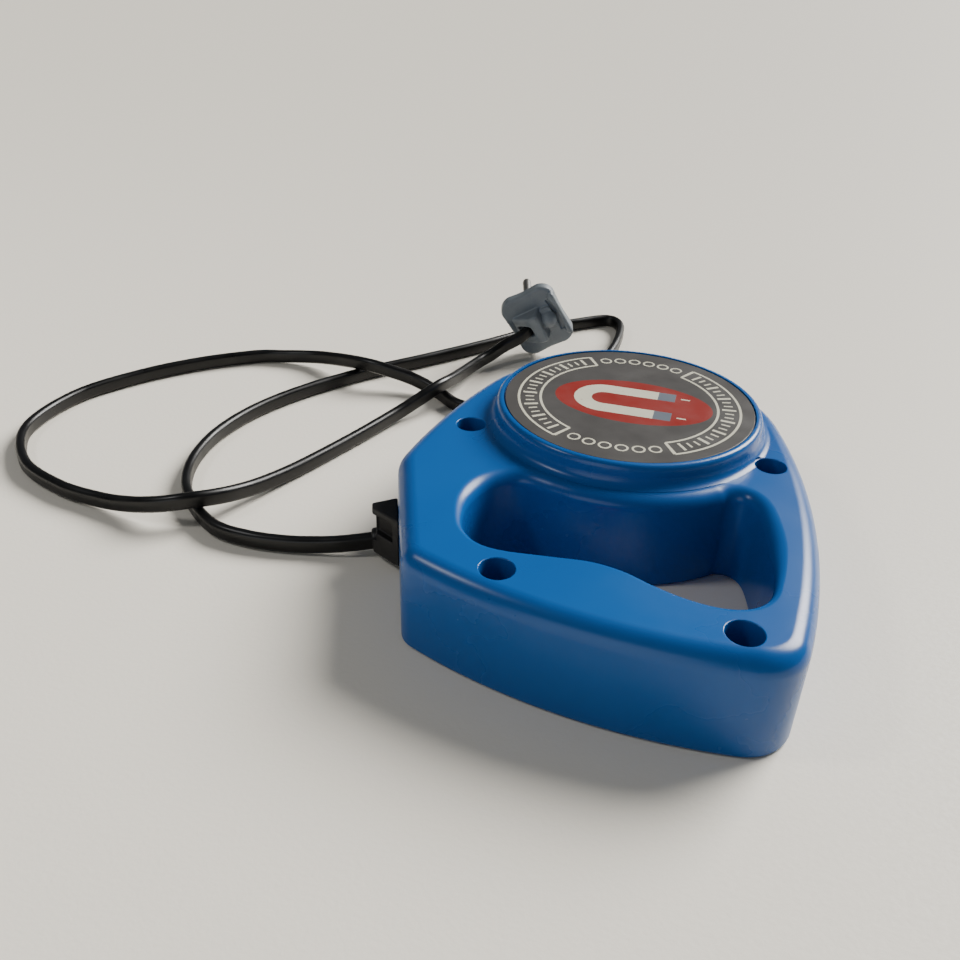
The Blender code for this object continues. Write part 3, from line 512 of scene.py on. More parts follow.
# %% Window and notch
CLEARANCE = 0.3
FLAT_START, FLAT_END = Vector((-67.0, -51.0)), Vector((-49.0, -97.5))
RELIEF_TOP = 21.0
WINDOW_FROM, WINDOW_TO = -96, -80
NOTCH = (9.2, 18.8, -4.7, 1.2)  # along the straight side from and to, out from it from and to

flat_along = (FLAT_END - FLAT_START).normalized()
flat_out = Vector((flat_along.y, -flat_along.x))


def on_flat(along, out):
    """A point beside the straight side, along it from its start and out from it."""
    return FLAT_START + flat_along * along + flat_out * out


def on_flat_box(along_from, along_to, out_from, out_to):
    """Four corners beside the straight side."""
    sides = ((along_from, out_from), (along_to, out_from), (along_to, out_to), (along_from, out_to))
    return [on_flat(*side) for side in sides]


trigger_low, trigger_high = cad_box("trigger_button")
TRIGGER_FLANGE = 2.0  # the flange inside the wall is this much wider than the button
button_low = trigger_low + Vector((TRIGGER_FLANGE, 0, TRIGGER_FLANGE))
button_high = trigger_high - Vector((TRIGGER_FLANGE, 0, TRIGGER_FLANGE))
window_low = (button_low.x - CLEARANCE, WINDOW_FROM, button_low.z - CLEARANCE)
window_high = (button_high.x + CLEARANCE, WINDOW_TO, button_high.z + CLEARANCE)
window = place("window", block(window_low, window_high))
notch = prism("notch", on_flat_box(*NOTCH), -2.0, RELIEF_TOP - 1.2)
carve(shell, [("DIFFERENCE", window), ("DIFFERENCE", notch)])
even_normals(shell)
stand_for(shell, "upper_shell")

# %% [markdown]
# ## Base plate
#
# A flat moulding closes the body from below, with a post for each screw. Its edge has a fine chamfer, so
# that the joint with the shell shows as a thin shadow line. The plate is the working face: the poles stand
# just above it.

# %% Base plate
PLATE_TOP, PLATE_INSET, PLATE_CHAMFER = 2.5, WALL + CLEARANCE, 0.25
plate_heights = ((PLATE_CHAMFER, 0.0), (0.0, PLATE_CHAMFER), (0.0, PLATE_TOP))
plate = place("base_cover", loft([level_ring(body_outline(PLATE_INSET + c), z) for c, z in plate_heights]))
hole_heights = ((0.4, -0.2), (0.0, PLATE_CHAMFER), (0.0, 6.0))
hole_rings = [level_ring(opening_outline(PLATE_INSET + c)[0], z) for c, z in hole_heights]
hand_hole = place("hand_hole", loft(hole_rings))
posts = [(x, y, WELL_TUBE_FOOT - CLEARANCE, 4.0, SCREW_HOLE) for x, y in WELLS]
for kind, *post in (("strap", 9.2, 4.5, SCREW_HOLE), ("switch", 12.45, 2.7, 1.3), ("clamp", 11.0, 2.6, 1.5)):
    for number in (1, 2):
        low, high = cad_box(f"{kind}_screw_{number}")
        posts.append(((low.x + high.x) / 2, (low.y + high.y) / 2, *post))
steps = [("UNION", upright_tube(x, y, 1.5, top, radius)) for x, y, top, radius, _ in posts]
steps += [("DIFFERENCE", upright_tube(x, y, 0.9, top + 1, hole, 16)) for x, y, top, _, hole in posts]
carve(plate, [("DIFFERENCE", hand_hole), *steps])
even_normals(plate)
stand_for(plate, "base_plate")

# %% [markdown]
# ## Printed disc
#
# A laminated disc lies in the head's recess, a hair below the rim. The disc is turned with a tiny rounded
# edge, and its print is drawn by the material further down.

# %% Printed disc
disc_low, disc_high = cad_box("round_label")
DISC_EDGE = 0.16
disc_radius = disc_high.x
edge = [(disc_radius - DISC_EDGE * a, disc_high.z - DISC_EDGE * b) for a, b in quarter(3)]
disc = place("printed_disc", turned([(disc_radius, disc_low.z), *edge], 160))
even_normals(disc)
stand_for(disc, "round_label")

# %% [markdown]
# ## Screws
#
# Every screw here is a pan-head with a cross recess and a thread. The head's dome and the thread's ridges
# are one turned profile, and a small tapered cross is cut from the head. All ten share one function, which
# reads each screw's place and length from its CAD piece.


# %% Screws
HEAD_HEIGHT = 0.78  # this and the next two are shares of the head's radius
CROSS_WIDTH, CROSS_REACH = 0.16, 0.62
CORE, POINT = 0.8, 0.55  # shares of the thread's outer radius
HEAD_EDGE, DOME_FOOT = 0.15, 0.5


def cross_cutter(width, reach, bottom, top):
    """Two crossing wedges, narrower at the bottom, for the driver."""
    arms = []
    for turn in (0, math.pi / 2):
        arm = block((-reach, -width, bottom), (reach, width, top))
        foot = [v for v in arm.verts if v.co.z < (bottom + top) / 2]
        bmesh.ops.scale(arm, vec=(0.45, 0.6, 1), verts=foot)
        bmesh.ops.rotate(arm, cent=(0, 0, 0), matrix=Matrix.Rotation(turn, 3, "Z"), verts=arm.verts)
        arms.append(place("arm", arm))
    return carve(arms[0], [("UNION", arms[1])])


def pan_head_screw(node, shank, pitch=1.0):
    """A screw in the place of its CAD piece; shank is the thread's outer radius."""
    low, high = cad_box(node)
    x, y, head = (low.x + high.x) / 2, (low.y + high.y) / 2, (high.x - low.x) / 2
    seat, core = high.z - head * HEAD_HEIGHT, shank * CORE
    foot = seat + DOME_FOOT
    ridges = [(0.05, low.z), (shank * POINT, low.z + 0.6)]
    for z in np.arange(low.z + 0.9, seat - pitch, pitch):
        ridges += [(core, z), (shank, z + pitch * 0.4), (shank, z + pitch * 0.5)]
    ridges += [(core, seat - 0.2), (core, seat), (head - HEAD_EDGE, seat), (head, seat + HEAD_EDGE)]
    dome = [(head * math.cos(a), foot + (high.z - foot) * math.sin(a)) for a in np.linspace(0, 1.4, 7)]
    screw = place(f"pan_screw_{node}", turned([*ridges, *dome, (head * 0.1, high.z)], 32))
    cross = cross_cutter(head * CROSS_WIDTH, head * CROSS_REACH, high.z - head * 0.5, high.z + 0.5)
    carve(screw, [("DIFFERENCE", cross)])
    screw.data.transform(Matrix.Translation(Vector((x, y, 0)) * MM))
    smooth_where_round(screw.data)
    stand_for(screw, node)
    return screw


screws = [pan_head_screw(f"case_screw_{i}", 1.5) for i in (1, 2, 3, 4)]
screws += [pan_head_screw(f"strap_screw_{i}", 1.5) for i in (1, 2)]
screws += [pan_head_screw(f"switch_screw_{i}", 1.0, 0.8) for i in (1, 2)]
screws += [pan_head_screw(f"clamp_screw_{i}", 1.2, 0.8) for i in (1, 2)]

# %% [markdown]
# ## Trigger
#
# The fingertips press this red button towards the handle, and it springs back by 2 mm. Its face is a row of
# shallow ripples for grip. The plan view is the rippled outline, so one loft with rounded ends makes the
# button, and the flange that holds it behind the wall and the stem that works the switch are joined on.

# %% Trigger
RIPPLES, RIPPLE_DEPTH, BUTTON_ROUND, BUTTON_CORNER = 6, 0.45, 1.2, 1.3
TRIGGER_BACK, TRIGGER_STEM, TRIGGER_STEM_RADIUS = -92.4, trigger_low.y, 2.2
button_back = TRIGGER_BACK - 0.5  # the button reaches into its flange


def trigger_plan(inset):
    """The button's plan, with the rippled face towards the opening."""
    left, wide, face = button_low.x + inset, button_high.x - inset, trigger_high.y - inset
    ring = [(left, button_back), (wide, button_back)]
    corner = BUTTON_CORNER
    for angle in np.linspace(0, math.pi / 2, 5):
        ring.append((wide - corner * (1 - math.cos(angle)), face - corner * (1 - math.sin(angle))))
    for t in np.linspace(0, 1, RIPPLES * 8 + 1)[1:-1]:
        dip = RIPPLE_DEPTH * (1 - math.cos(math.tau * RIPPLES * t)) / 2
        ring.append((wide - corner - (wide - left - 2 * corner) * t, face - dip))
    for angle in np.linspace(math.pi / 2, math.pi, 5):
        ring.append((left + corner * (1 + math.cos(angle)), face - corner * (1 - math.sin(angle))))
    return ring


button_rings = rounded_rings(trigger_plan, button_low.z, button_high.z, BUTTON_ROUND, BUTTON_ROUND)
button = place("finger_trigger", loft(button_rings))
flange_low = (trigger_low.x, TRIGGER_BACK - 1.5, trigger_low.z)
flange = place("flange", block(flange_low, (trigger_high.x, TRIGGER_BACK, trigger_high.z), 0.3, 2))
stem = turned([(TRIGGER_STEM_RADIUS, 0), (TRIGGER_STEM_RADIUS, button_back - TRIGGER_STEM)], 24)
middle = (trigger_low + trigger_high) / 2
lie = Matrix.Translation((middle.x, TRIGGER_STEM, middle.z)) @ Matrix.Rotation(math.radians(-90), 4, "X")
carve(button, [("UNION", flange), ("UNION", place("stem", stem, lie))])
even_normals(button)
stand_for(button, "trigger_button", "trigger")

# %% [markdown]
# ## Strain relief
#
# A black wedge of soft PVC is moulded on the cord and held in the wall's notch. Seen from above it is thick
# where the cord comes out and thins to nothing along the side. A pocket in its slanted face saves material,
# and a round sleeve grips the cord low down. The wedge is lofted, the pocket cut, the sleeve swept along
# the cord's first stretch, and a fine remesh melts them into one soft moulding.

# %% Strain relief
RELIEF_FROM, RELIEF_TO, RELIEF_REACH, RELIEF_FOOT = 8.0, 20.5, 8.6, 3.4
RELIEF_SLANT = 2.2  # the far face leans back towards the wall
SLEEVE = ((7.0, 4.2), (1.0, 4.2), (0.4, 4.05), (0.1, 3.7))  # distance back from the cord's exit, radius
BORE_RADIUS = 3.3
NECK, LIP = (9.5, 18.5, -4.7, 1.2), (7.0, 21.5, -4.5, -2.8)  # placed as the notch is
UNDERCUT = (3.0, 13.0, RELIEF_REACH - 1.2, RELIEF_REACH + 3.0)


def soften(piece, voxel, rounds):
    """Melts joined shapes into one moulding with soft edges."""
    melt = piece.modifiers.new("melt", "REMESH")
    melt.mode, melt.voxel_size = "VOXEL", voxel * MM
    relax = piece.modifiers.new("relax", "SMOOTH")
    relax.factor, relax.iterations = 0.5, rounds
    settle(piece)
    piece.data.shade_smooth()
    return piece


def tube_ring(centre, along, radius, sides=28):
    """A ring square to a direction."""
    up, across = upright_axes(along)
    angles = [math.tau * k / sides for k in range(sides)]
    return [centre + (up * math.cos(a) + across * math.sin(a)) * radius for a in angles]


wedge_plan = [
    on_flat(RELIEF_FROM - RELIEF_SLANT, 0.3), on_flat(RELIEF_TO, 0.3), on_flat(RELIEF_TO - 1.0, 1.4),
    on_flat(RELIEF_FROM + 3.6, RELIEF_REACH), on_flat(RELIEF_FROM + 0.6, RELIEF_REACH),
]
wedge = loft([level_ring(wedge_plan, RELIEF_FOOT), level_ring(wedge_plan, RELIEF_TOP)])
relief = place("strain_relief", round_edges(wedge, 0.5, 3))

pocket_plan = [on_flat(10.2, 12.0), on_flat(19.4, 3.0), on_flat(16.4, 1.2), on_flat(10.2, 6.4)]
sleeve_rings = [tube_ring(cord_start - outward * back, outward, radius) for back, radius in SLEEVE]
bore_ends = (-CORD_INSIDE - 0.6, 2.0)
bore_rings = [tube_ring(cord_start + outward * out, outward, BORE_RADIUS) for out in bore_ends]
carve(relief, [
    ("DIFFERENCE", prism("pocket", pocket_plan, 11.6, 18.6)),
    ("DIFFERENCE", prism("undercut", on_flat_box(*UNDERCUT), 8.6, 18.6)),
    ("UNION", place("sleeve", loft(sleeve_rings))),
    ("UNION", prism("relief_neck", on_flat_box(*NECK), 2.8, RELIEF_TOP - 1.5)),
    ("UNION", prism("relief_lip", on_flat_box(*LIP), 2.8, RELIEF_TOP - 3.0)),
    ("DIFFERENCE", place("bore", loft(bore_rings))),
])
soften(relief, 0.22, 3)
stand_for(relief, "cord_boot")

# %% [markdown]
# ## Plug
#
# The plug turns the cord a right angle: the cord enters a slanted face on its back, and two round pins
# leave its front. The body is one grey moulding, a flange with four soft lobes for the fingers, a collar
# with the cord's mouth, a round boss, and a groove between that boss and a raised edge. It is modelled flat
# in the plug's own axes, melted as one, and then turned to where the plug lies.

# %% Plug body
FLANGE_LENGTH, FLANGE_WIDTH, FLANGE_THICKNESS = 27.0, 33.0, 5.5
LOBE, WAIST, FLANGE_ROUND = 6.5, 0.5, 1.3
PIN_RADIUS, PIN_APART, PIN_LENGTH, PIN_SEAT = 2.0, 19.0, 19.0, 3.0
COLLAR_SIDE = ((4.5, -1.0), (2.2, -10.5), (-1.5, -10.5), (-10.5, -3.0), (-10.5, -1.0))
COLLAR_HALF_WIDTH, COLLAR_ROUND = 7.5, 1.1
POCKET_HALF, POCKET_SQUASH = 4.3, 0.72  # the mouth's pocket is taller than it is wide
PAD_RADIUS, PAD_X, PAD_FOOT = 6.4, 5.6, -4.4
BOSS_CENTRE, BOSS_RADIUS, BOSS_HEIGHTENING = (5.8, 0, -4.0), 4.3, 1.05
EDGE_LOW, EDGE_HIGH = (10.2, -12.0, -5.2), (13.3, 12.0, -1.0)
GROOVE_X, GROOVE_BULGE, GROOVE_HALF_WIDTH, GROOVE_REACH = 9.5, 0.9, 1.25, 9.0


def lobed_plan(inset):
    """A rounded rectangle whose sides are drawn in a little between the four lobes."""
    half_x, half_y, radius = FLANGE_LENGTH / 2, FLANGE_WIDTH / 2, LOBE
    ring = []
    for quadrant, (sx, sy) in enumerate(((1, 1), (-1, 1), (-1, -1), (1, -1))):
        for step in range(9):
            angle = (quadrant + step / 8) * math.pi / 2
            ring.append((
                sx * (half_x - radius) + (radius - inset) * math.cos(angle),
                sy * (half_y - radius) + (radius - inset) * math.sin(angle),
            ))
        vertical = quadrant % 2 == 0
        reach = (half_y if vertical else half_x) - WAIST - inset
        ring.append((0, sy * reach) if vertical else (sx * reach, 0))
    return smooth_curve(ring, 120, closed=True)


def groove_plan():
    """The groove's outline, which bulges towards the raised edge in the middle."""
    y = np.linspace(-GROOVE_REACH, GROOVE_REACH, 13)
    x = GROOVE_X + GROOVE_BULGE * (1 - (y / GROOVE_REACH) ** 2)
    return [*zip(x - GROOVE_HALF_WIDTH, y), *zip(x[::-1] + GROOVE_HALF_WIDTH, y[::-1])]


half_thick = FLANGE_THICKNESS / 2
flange_rings = rounded_rings(lobed_plan, -half_thick, half_thick, FLANGE_ROUND, FLANGE_ROUND)
plug = place("plug_moulding", loft(flange_rings))

collar = loft([[(x, y, z) for x, z in COLLAR_SIDE] for y in (-COLLAR_HALF_WIDTH, COLLAR_HALF_WIDTH)])
mouth_pocket = block((-POCKET_HALF, -POCKET_HALF, -3.0), (POCKET_HALF, POCKET_HALF, CORD_INSIDE + 1.0), 2.0)
bmesh.ops.scale(mouth_pocket, vec=(POCKET_SQUASH, 1, 1), verts=mouth_pocket.verts)
facing = Matrix.Translation(MOUTH) @ INTO_MOUTH.to_track_quat("Z", "Y").to_matrix().to_4x4()
pad = turned([(PAD_RADIUS, PAD_FOOT), (PAD_RADIUS, -1.0)], 48)
boss = bmesh.new()
bmesh.ops.create_uvsphere(boss, u_segments=32, v_segments=16, radius=BOSS_RADIUS)
bmesh.ops.scale(boss, vec=(1, 1, BOSS_HEIGHTENING), verts=boss.verts)
carve(plug, [
    ("UNION", place("pad", moved(pad, PAD_X, 0))),
    ("UNION", place("raised_edge", block(EDGE_LOW, EDGE_HIGH, 1.2, 3))),
    ("DIFFERENCE", prism("groove", groove_plan(), -9.0, -1.9)),
    ("UNION", place("collar", round_edges(collar, COLLAR_ROUND, 4))),
    ("UNION", place("boss", moved(boss, *BOSS_CENTRE))),
    ("DIFFERENCE", place("mouth_pocket", mouth_pocket, facing)),
])
soften(plug, 0.26, 4)
print("plug moulding", len(plug.data.polygons), "faces")

# %% Seats for the pins
seat_radius, seat_floor = PIN_RADIUS + CLEARANCE, half_thick - PIN_SEAT - CLEARANCE
seats = []
seats = []
for y in (-PIN_APART / 2, PIN_APART / 2):
    seat = turned([(seat_radius, seat_floor), (seat_radius, 9)], 32)
    seats.append(("DIFFERENCE", place("seat", seat, Matrix.Translation((0, y, 0)))))
carve(plug, seats)
plug.data.transform(Matrix.Scale(MM, 4) @ plug_place @ Matrix.Scale(1 / MM, 4))
plug.data.shade_smooth()
stand_for(plug, "plug_body")

# %% [markdown]
# ## Pins
#
# Two round pins, 4 mm thick and 19 mm long, stand 19 mm apart and end in soft round tips. Each is one
# turned profile.

# %% Pins
pins = []
dome_height = PIN_RADIUS * 0.8
dome_foot = half_thick + PIN_LENGTH - dome_height
dome = [(PIN_RADIUS * math.cos(a), dome_foot + dome_height * math.sin(a)) for a in np.linspace(0, 1.5, 9)]
for number, y in enumerate((-PIN_APART / 2, PIN_APART / 2), 1):
    shaft = turned([(PIN_RADIUS, half_thick - PIN_SEAT), *dome], 40)
    piece = place(f"round_pin_{number}", shaft, plug_place @ Matrix.Translation((0, y, 0)))
    stand_for(piece, f"plug_pin_{number}")
    pins.append(piece)

# %% [markdown]
#
# The cord is shown from end to end, so its length is the length of its route. It rides with the housing, as
# the plug at its end does.

stand_for(flex, "power_cord")

# %% [markdown]
# ## Finishes
#
# Each finish starts as a Principled shader with the colour and gloss of the real stuff. Noise then breaks
# up what would look too even: it mottles the colour a little, varies the gloss as handling does, and gives
# a fine bump. All patterns read Object coordinates, in metres, so a scale of 1000 is one cell to the
# millimetre.


# %% Helpers for finishes
class Field:
    """A number all over a surface, which adds Math nodes as it is worked with."""

    def __init__(self, tree, socket):
        self.tree, self.socket = tree, socket

    def math(self, operation, *others):
        node = self.tree.nodes.new("ShaderNodeMath")
        node.operation = operation
        for slot, value in zip(node.inputs, (self, *others)):
            if isinstance(value, Field):
                self.tree.links.new(value.socket, slot)
            else:
                slot.default_value = value
        return Field(self.tree, node.outputs[0])

    def __add__(self, other):
        return self.math("ADD", other)

    def __sub__(self, other):
        return self.math("SUBTRACT", other)

    def __mul__(self, other):
        return self.math("MULTIPLY", other)

    def __truediv__(self, other):
        return self.math("DIVIDE", other)

    def __abs__(self):
        return self.math("ABSOLUTE")

    def under(self, limit, soft=0.08):
        """1 where the number is under limit, with an edge this soft."""
        return ((self * -1.0 + limit) / soft + 0.5).math("MINIMUM", 1.0).math("MAXIMUM", 0.0)

    def over(self, limit, soft=0.08):
        return self.under(limit, soft) * -1.0 + 1.0

    def any(self, other):
        return self.math("MAXIMUM", other)


class Finish:
    """A Principled material, with its coordinates at hand."""

    def __init__(self, name, colour, roughness, metallic=0.0, coat=0.0, specular=0.5):
        self.material = bpy.data.materials.new(name)
        self.material.use_nodes = True
        self.tree = self.material.node_tree
        self.shader = self.tree.nodes["Principled BSDF"]
        self.shader.inputs["Base Color"].default_value = (*colour, 1)
        self.shader.inputs["Roughness"].default_value = roughness
        self.shader.inputs["Metallic"].default_value = metallic
        self.shader.inputs["Coat Weight"].default_value = coat
        self.shader.inputs["Specular IOR Level"].default_value = specular
        self.coordinates = self.tree.nodes.new("ShaderNodeTexCoord").outputs["Object"]
        self.colour = None
        self.normal = None

    def millimetres(self):
        """The three Object coordinates, in millimetres."""
        parts = self.tree.nodes.new("ShaderNodeSeparateXYZ")
        self.tree.links.new(self.coordinates, parts.inputs[0])
        return [Field(self.tree, parts.outputs[i]) * 1000.0 for i in range(3)]

    def noise(self, size_mm, detail=3.0, stretch=(1, 1, 1)):
        mapping = self.tree.nodes.new("ShaderNodeMapping")
        mapping.inputs["Scale"].default_value = [s * 1000.0 / size_mm for s in stretch]
        texture = self.tree.nodes.new("ShaderNodeTexNoise")
        texture.inputs["Scale"].default_value = 1.0
        texture.inputs["Detail"].default_value = detail
        self.tree.links.new(self.coordinates, mapping.inputs["Vector"])
        self.tree.links.new(mapping.outputs[0], texture.inputs["Vector"])
        return Field(self.tree, texture.outputs["Fac"])

    def tint(self, share, colour):
        """Paints a colour over the one so far, as far as the share says."""
        mix = self.tree.nodes.new("ShaderNodeMix")
        mix.data_type = "RGBA"
        if self.colour is None:
            mix.inputs[6].default_value = self.shader.inputs["Base Color"].default_value
        else:
            self.tree.links.new(self.colour, mix.inputs[6])
        mix.inputs[7].default_value = (*colour, 1)
        self.tree.links.new(share.socket, mix.inputs[0])
        self.colour = mix.outputs[2]
        self.tree.links.new(self.colour, self.shader.inputs["Base Color"])
        return self

    def gloss(self, field, low, high):
        """Lets roughness run from low to high as a 0 to 1 field does."""
        rough = field * (high - low) + low
        self.tree.links.new(rough.socket, self.shader.inputs["Roughness"])
        return self

    def relief(self, field, height_mm, strength=1.0):
        bump = self.tree.nodes.new("ShaderNodeBump")
        bump.inputs["Distance"].default_value = height_mm * MM
        bump.inputs["Strength"].default_value = strength
        self.tree.links.new(field.socket, bump.inputs["Height"])
        if self.normal is not None:
            self.tree.links.new(self.normal, bump.inputs["Normal"])
        self.normal = bump.outputs[0]
        self.tree.links.new(self.normal, self.shader.inputs["Normal"])
        return self

    def mottle(self, size_mm, detail, low, high, share, colour):
        """Tints patches of about this size."""
        return self.tint(contrast(self.noise(size_mm, detail), low, high) * share, colour)

    def wear(self, size_mm, detail, low, high):
        """Lets roughness wander between low and high in patches of about this size."""
        return self.gloss(contrast(self.noise(size_mm, detail), 0.3, 0.7), low, high)

    def grain(self, size_mm, detail, height_mm, strength):
        return self.relief(self.noise(size_mm, detail), height_mm, strength)


def contrast(field, low, high):
    """Stretches the middle of a noise, from low to high, over 0 to 1."""
    return ((field - low) / (high - low)).math("MINIMUM", 1.0).math("MAXIMUM", 0.0)


# %% [markdown]
# ## Blue moulding
#
# Glossy ABS takes its colour from a pigment all the way through. Handling leaves it a little duller in
# broad patches, and the mould leaves a very faint ripple that softens reflections.

# %% Blue moulding
BLUE = (0.0, 0.072, 0.275)
blue = Finish("blue_moulding", BLUE, 0.28, specular=0.36)
handled = contrast(blue.noise(34, 4), 0.35, 0.68)
blue.tint(handled * 0.3, (0.002, 0.083, 0.30))
blue.gloss(handled, 0.25, 0.33)
blue.grain(5.5, 2, 0.03, 0.5).grain(0.5, 2, 0.006, 0.4)
shell.data.materials.append(blue.material)

matt_blue = Finish("matt_blue_moulding", (0.002, 0.08, 0.27), 0.45)
grain = matt_blue.noise(0.45, 3)
matt_blue.mottle(22, 4, 0.4, 0.7, 0.4, (0.006, 0.10, 0.30))
matt_blue.gloss(contrast(grain, 0.3, 0.7), 0.38, 0.55).relief(grain, 0.03, 0.6)
plate.data.materials.append(matt_blue.material)
print("blue finishes made")

# %% [markdown]
# ## Print on the disc
#
# The print is generic: a red oval with a horseshoe magnet, two curved frames with a scale of ticks, and a
# chain of small rings between them. Each shape is a distance worked out from the coordinates and compared
# with a line width, so the print stays sharp at any size.

# %% Print on the disc
INK, CREAM = (0.052, 0.049, 0.047), (0.56, 0.54, 0.43)
RED, STEEL_GREY = (0.21, 0.010, 0.006), (0.10, 0.12, 0.15)
FRAME_IN, FRAME_OUT, LINE = 30.8, 38.4, 0.42
FRAME_END = 0.86  # sine of the angle at which a frame ends
OVAL_X, OVAL_Y, OVAL_CENTRE = 27.5, 16.5, 1.5
BEND_X, BEND_RADIUS, MAGNET_HALF, LEG_END, TIP_START = -8.5, 7.6, 3.1, 15.5, 9.5
DASHES = (17.4, 20.6)  # from and to, of the short strokes in front of the poles
TICK_END, BEAD_START = 0.80, 0.90  # sines, like the frame's
BEAD_RADIUS = 1.9

printed = Finish("printed_laminate", INK, 0.36, specular=0.35)
x, y, _ = printed.millimetres()
radius = (x * x + y * y).math("SQRT")
sine = abs(y / radius)
in_frame = sine.under(FRAME_END, 0.004)
lines = abs(radius - FRAME_IN).under(LINE).any(abs(radius - FRAME_OUT).under(LINE)) * in_frame
between = radius.over(FRAME_IN) * radius.under(FRAME_OUT)
lines = lines.any(abs(sine - FRAME_END).under(0.008, 0.002) * between)

angle = y.math("ARCTAN2", x)


def repeated(count):
    """Distance round the disc, in millimetres, from the nearest of evenly spaced marks."""
    step = math.tau / count
    return (((angle + math.tau).math("MODULO", step)) - step / 2) * radius


middle_radius = (FRAME_IN + FRAME_OUT) / 2
from_middle = radius - middle_radius
scale = sine.under(TICK_END, 0.004)
ticks = abs(repeated(72)).under(0.38) * abs(from_middle).under(1.5) * scale
long_ticks = abs(repeated(24)).under(0.6) * abs(from_middle).under(2.4) * scale
bead = repeated(40)
bead_distance = (bead * bead + from_middle * from_middle).math("SQRT")
beads = abs(bead_distance - BEAD_RADIUS).under(0.34) * sine.over(BEAD_START, 0.004)

oval = ((x - OVAL_CENTRE) / OVAL_X) * ((x - OVAL_CENTRE) / OVAL_X) + (y / OVAL_Y) * (y / OVAL_Y)
from_bend = ((x - BEND_X) * (x - BEND_X) + y * y).math("SQRT")
bend = abs(from_bend - BEND_RADIUS).under(MAGNET_HALF) * x.under(BEND_X)
legs = abs(abs(y) - BEND_RADIUS).under(MAGNET_HALF) * x.over(BEND_X) * x.under(LEG_END)
dashes = abs(abs(y) - BEND_RADIUS).under(0.4) * x.over(DASHES[0]) * x.under(DASHES[1])
worn = contrast(printed.noise(0.9, 3), 0.22, 0.30)

printed.tint(oval.under(1.0, 0.01), RED)
printed.tint(bend.any(legs) * worn, CREAM)
printed.tint(legs * x.over(TIP_START), STEEL_GREY)
printed.tint(dashes * worn, CREAM)
printed.tint(lines.any(ticks).any(long_ticks).any(beads) * worn, CREAM)
printed.mottle(6, 5, 0.35, 0.75, 0.10, (0.16, 0.15, 0.14))
printed.wear(14, 4, 0.30, 0.46).grain(0.6, 2, 0.008, 0.5)
disc.data.materials.append(printed.material)
print("print drawn with", len(printed.tree.nodes), "nodes")

# %% [markdown]
# ## Rubber, plug and metal
#
# The cord's PVC is nearly black and a little greasy, so it shines in a thin line. The plug is a duller blue
# grey, mottled and slightly scuffed. The bright metal is brushed or zinc-plated, with tiny scratches.

# %% Black PVC, grey PVC and metals
black_cord = Finish("black_cord_pvc", (0.0022, 0.0022, 0.0025), 0.32, specular=0.32)
black_cord.wear(9, 4, 0.26, 0.42).grain(1.2, 2, 0.02, 0.4)
black_cord.mottle(0.7, 3, 0.62, 0.75, 0.10, (0.02, 0.02, 0.02))

soft_black = Finish("soft_black_pvc", (0.005, 0.005, 0.0055), 0.42, specular=0.35)
soft_black.wear(3, 4, 0.36, 0.52).grain(0.4, 2, 0.015, 0.5)
soft_black.mottle(0.9, 4, 0.6, 0.72, 0.2, (0.025, 0.025, 0.025))

plug_grey = Finish("blue_grey_pvc", (0.115, 0.135, 0.155), 0.5)
plug_grey.mottle(7, 4, 0.35, 0.7, 0.6, (0.165, 0.19, 0.20))
plug_grey.mottle(0.8, 4, 0.62, 0.76, 0.25, (0.30, 0.32, 0.33))
plug_grey.wear(4, 3, 0.40, 0.58).grain(0.9, 3, 0.05, 0.5)


def metal(name, colour, low, high, stretch=(1, 1, 1)):
    """A plated or brushed metal whose scratches run along the shorter-stretched axes."""
    plated = Finish(name, colour, (low + high) / 2, metallic=1.0)
    scratches = plated.noise(0.5, 3, stretch)
    plated.gloss(contrast(scratches, 0.3, 0.7), low, high).relief(scratches, 0.006, 0.5)
    return plated.mottle(2.5, 4, 0.5, 0.8, 0.35, [c * 0.6 for c in colour]).material


zinc = metal("zinc_plate", (0.62, 0.62, 0.60), 0.24, 0.42)
nickel = metal("dull_nickel_pin", (0.20, 0.195, 0.185), 0.38, 0.55)
for piece in screws:
    piece.data.materials.append(zinc)
for piece in pins:
    piece.data.materials.append(nickel)
flex.data.materials.append(black_cord.material)
relief.data.materials.append(soft_black.material)
plug.data.materials.append(plug_grey.material)

red = Finish("red_trigger_plastic", (0.42, 0.018, 0.016), 0.34)
red.wear(2.5, 4, 0.28, 0.46).grain(0.5, 2, 0.012, 0.5).mottle(5, 4, 0.4, 0.7, 0.4, (0.50, 0.03, 0.022))
button.data.materials.append(red.material)
print(len(bpy.data.materials), "materials so far")

# %% [markdown]
# ## Pieces inside
#
# The magnet, the switch and the wiring keep their CAD shapes, which are right, and get their real finishes:
# the edges of stacked sheets across the core, the turns of enamelled wire on the coil, nylon, tape and PVC
# leads.


# %% Stripes and plain plastics
def striped(name, colour, groove_shade, roughness, metallic, axis, pitch_mm, relief_mm):
    """A finish with even grooves across one axis, such as stacked sheets or turns of wire; the bottom of each
    groove is painted darker as shade.
    """
    finish = Finish(name, colour, roughness, metallic)
    phase = finish.millimetres()[axis] * (math.tau / pitch_mm)
    wave = phase.math("SINE") * 0.5 + 0.5
    # painted shade: the troughs of the grooves, between the sheets and between the turns, are tinted darker
    finish.tint(wave.under(0.25, 0.3) * 0.7, groove_shade)
    finish.mottle(3, 4, 0.45, 0.75, 0.3, [c * 0.7 for c in colour])
    finish.wear(1.5, 3, roughness - 0.08, roughness + 0.1)
    return finish.relief(wave, relief_mm, 0.8).material


def moulded(name, colour, roughness, mottle_mm=4.0):
    """A small moulding or an insulating skin, faintly mottled."""
    finish = Finish(name, colour, roughness)
    finish.mottle(mottle_mm, 4, 0.4, 0.7, 0.5, [c * 0.82 for c in colour])
    finish.wear(1.2, 3, roughness - 0.08, roughness + 0.1)
    return finish.grain(0.35, 2, 0.015, 0.5).material


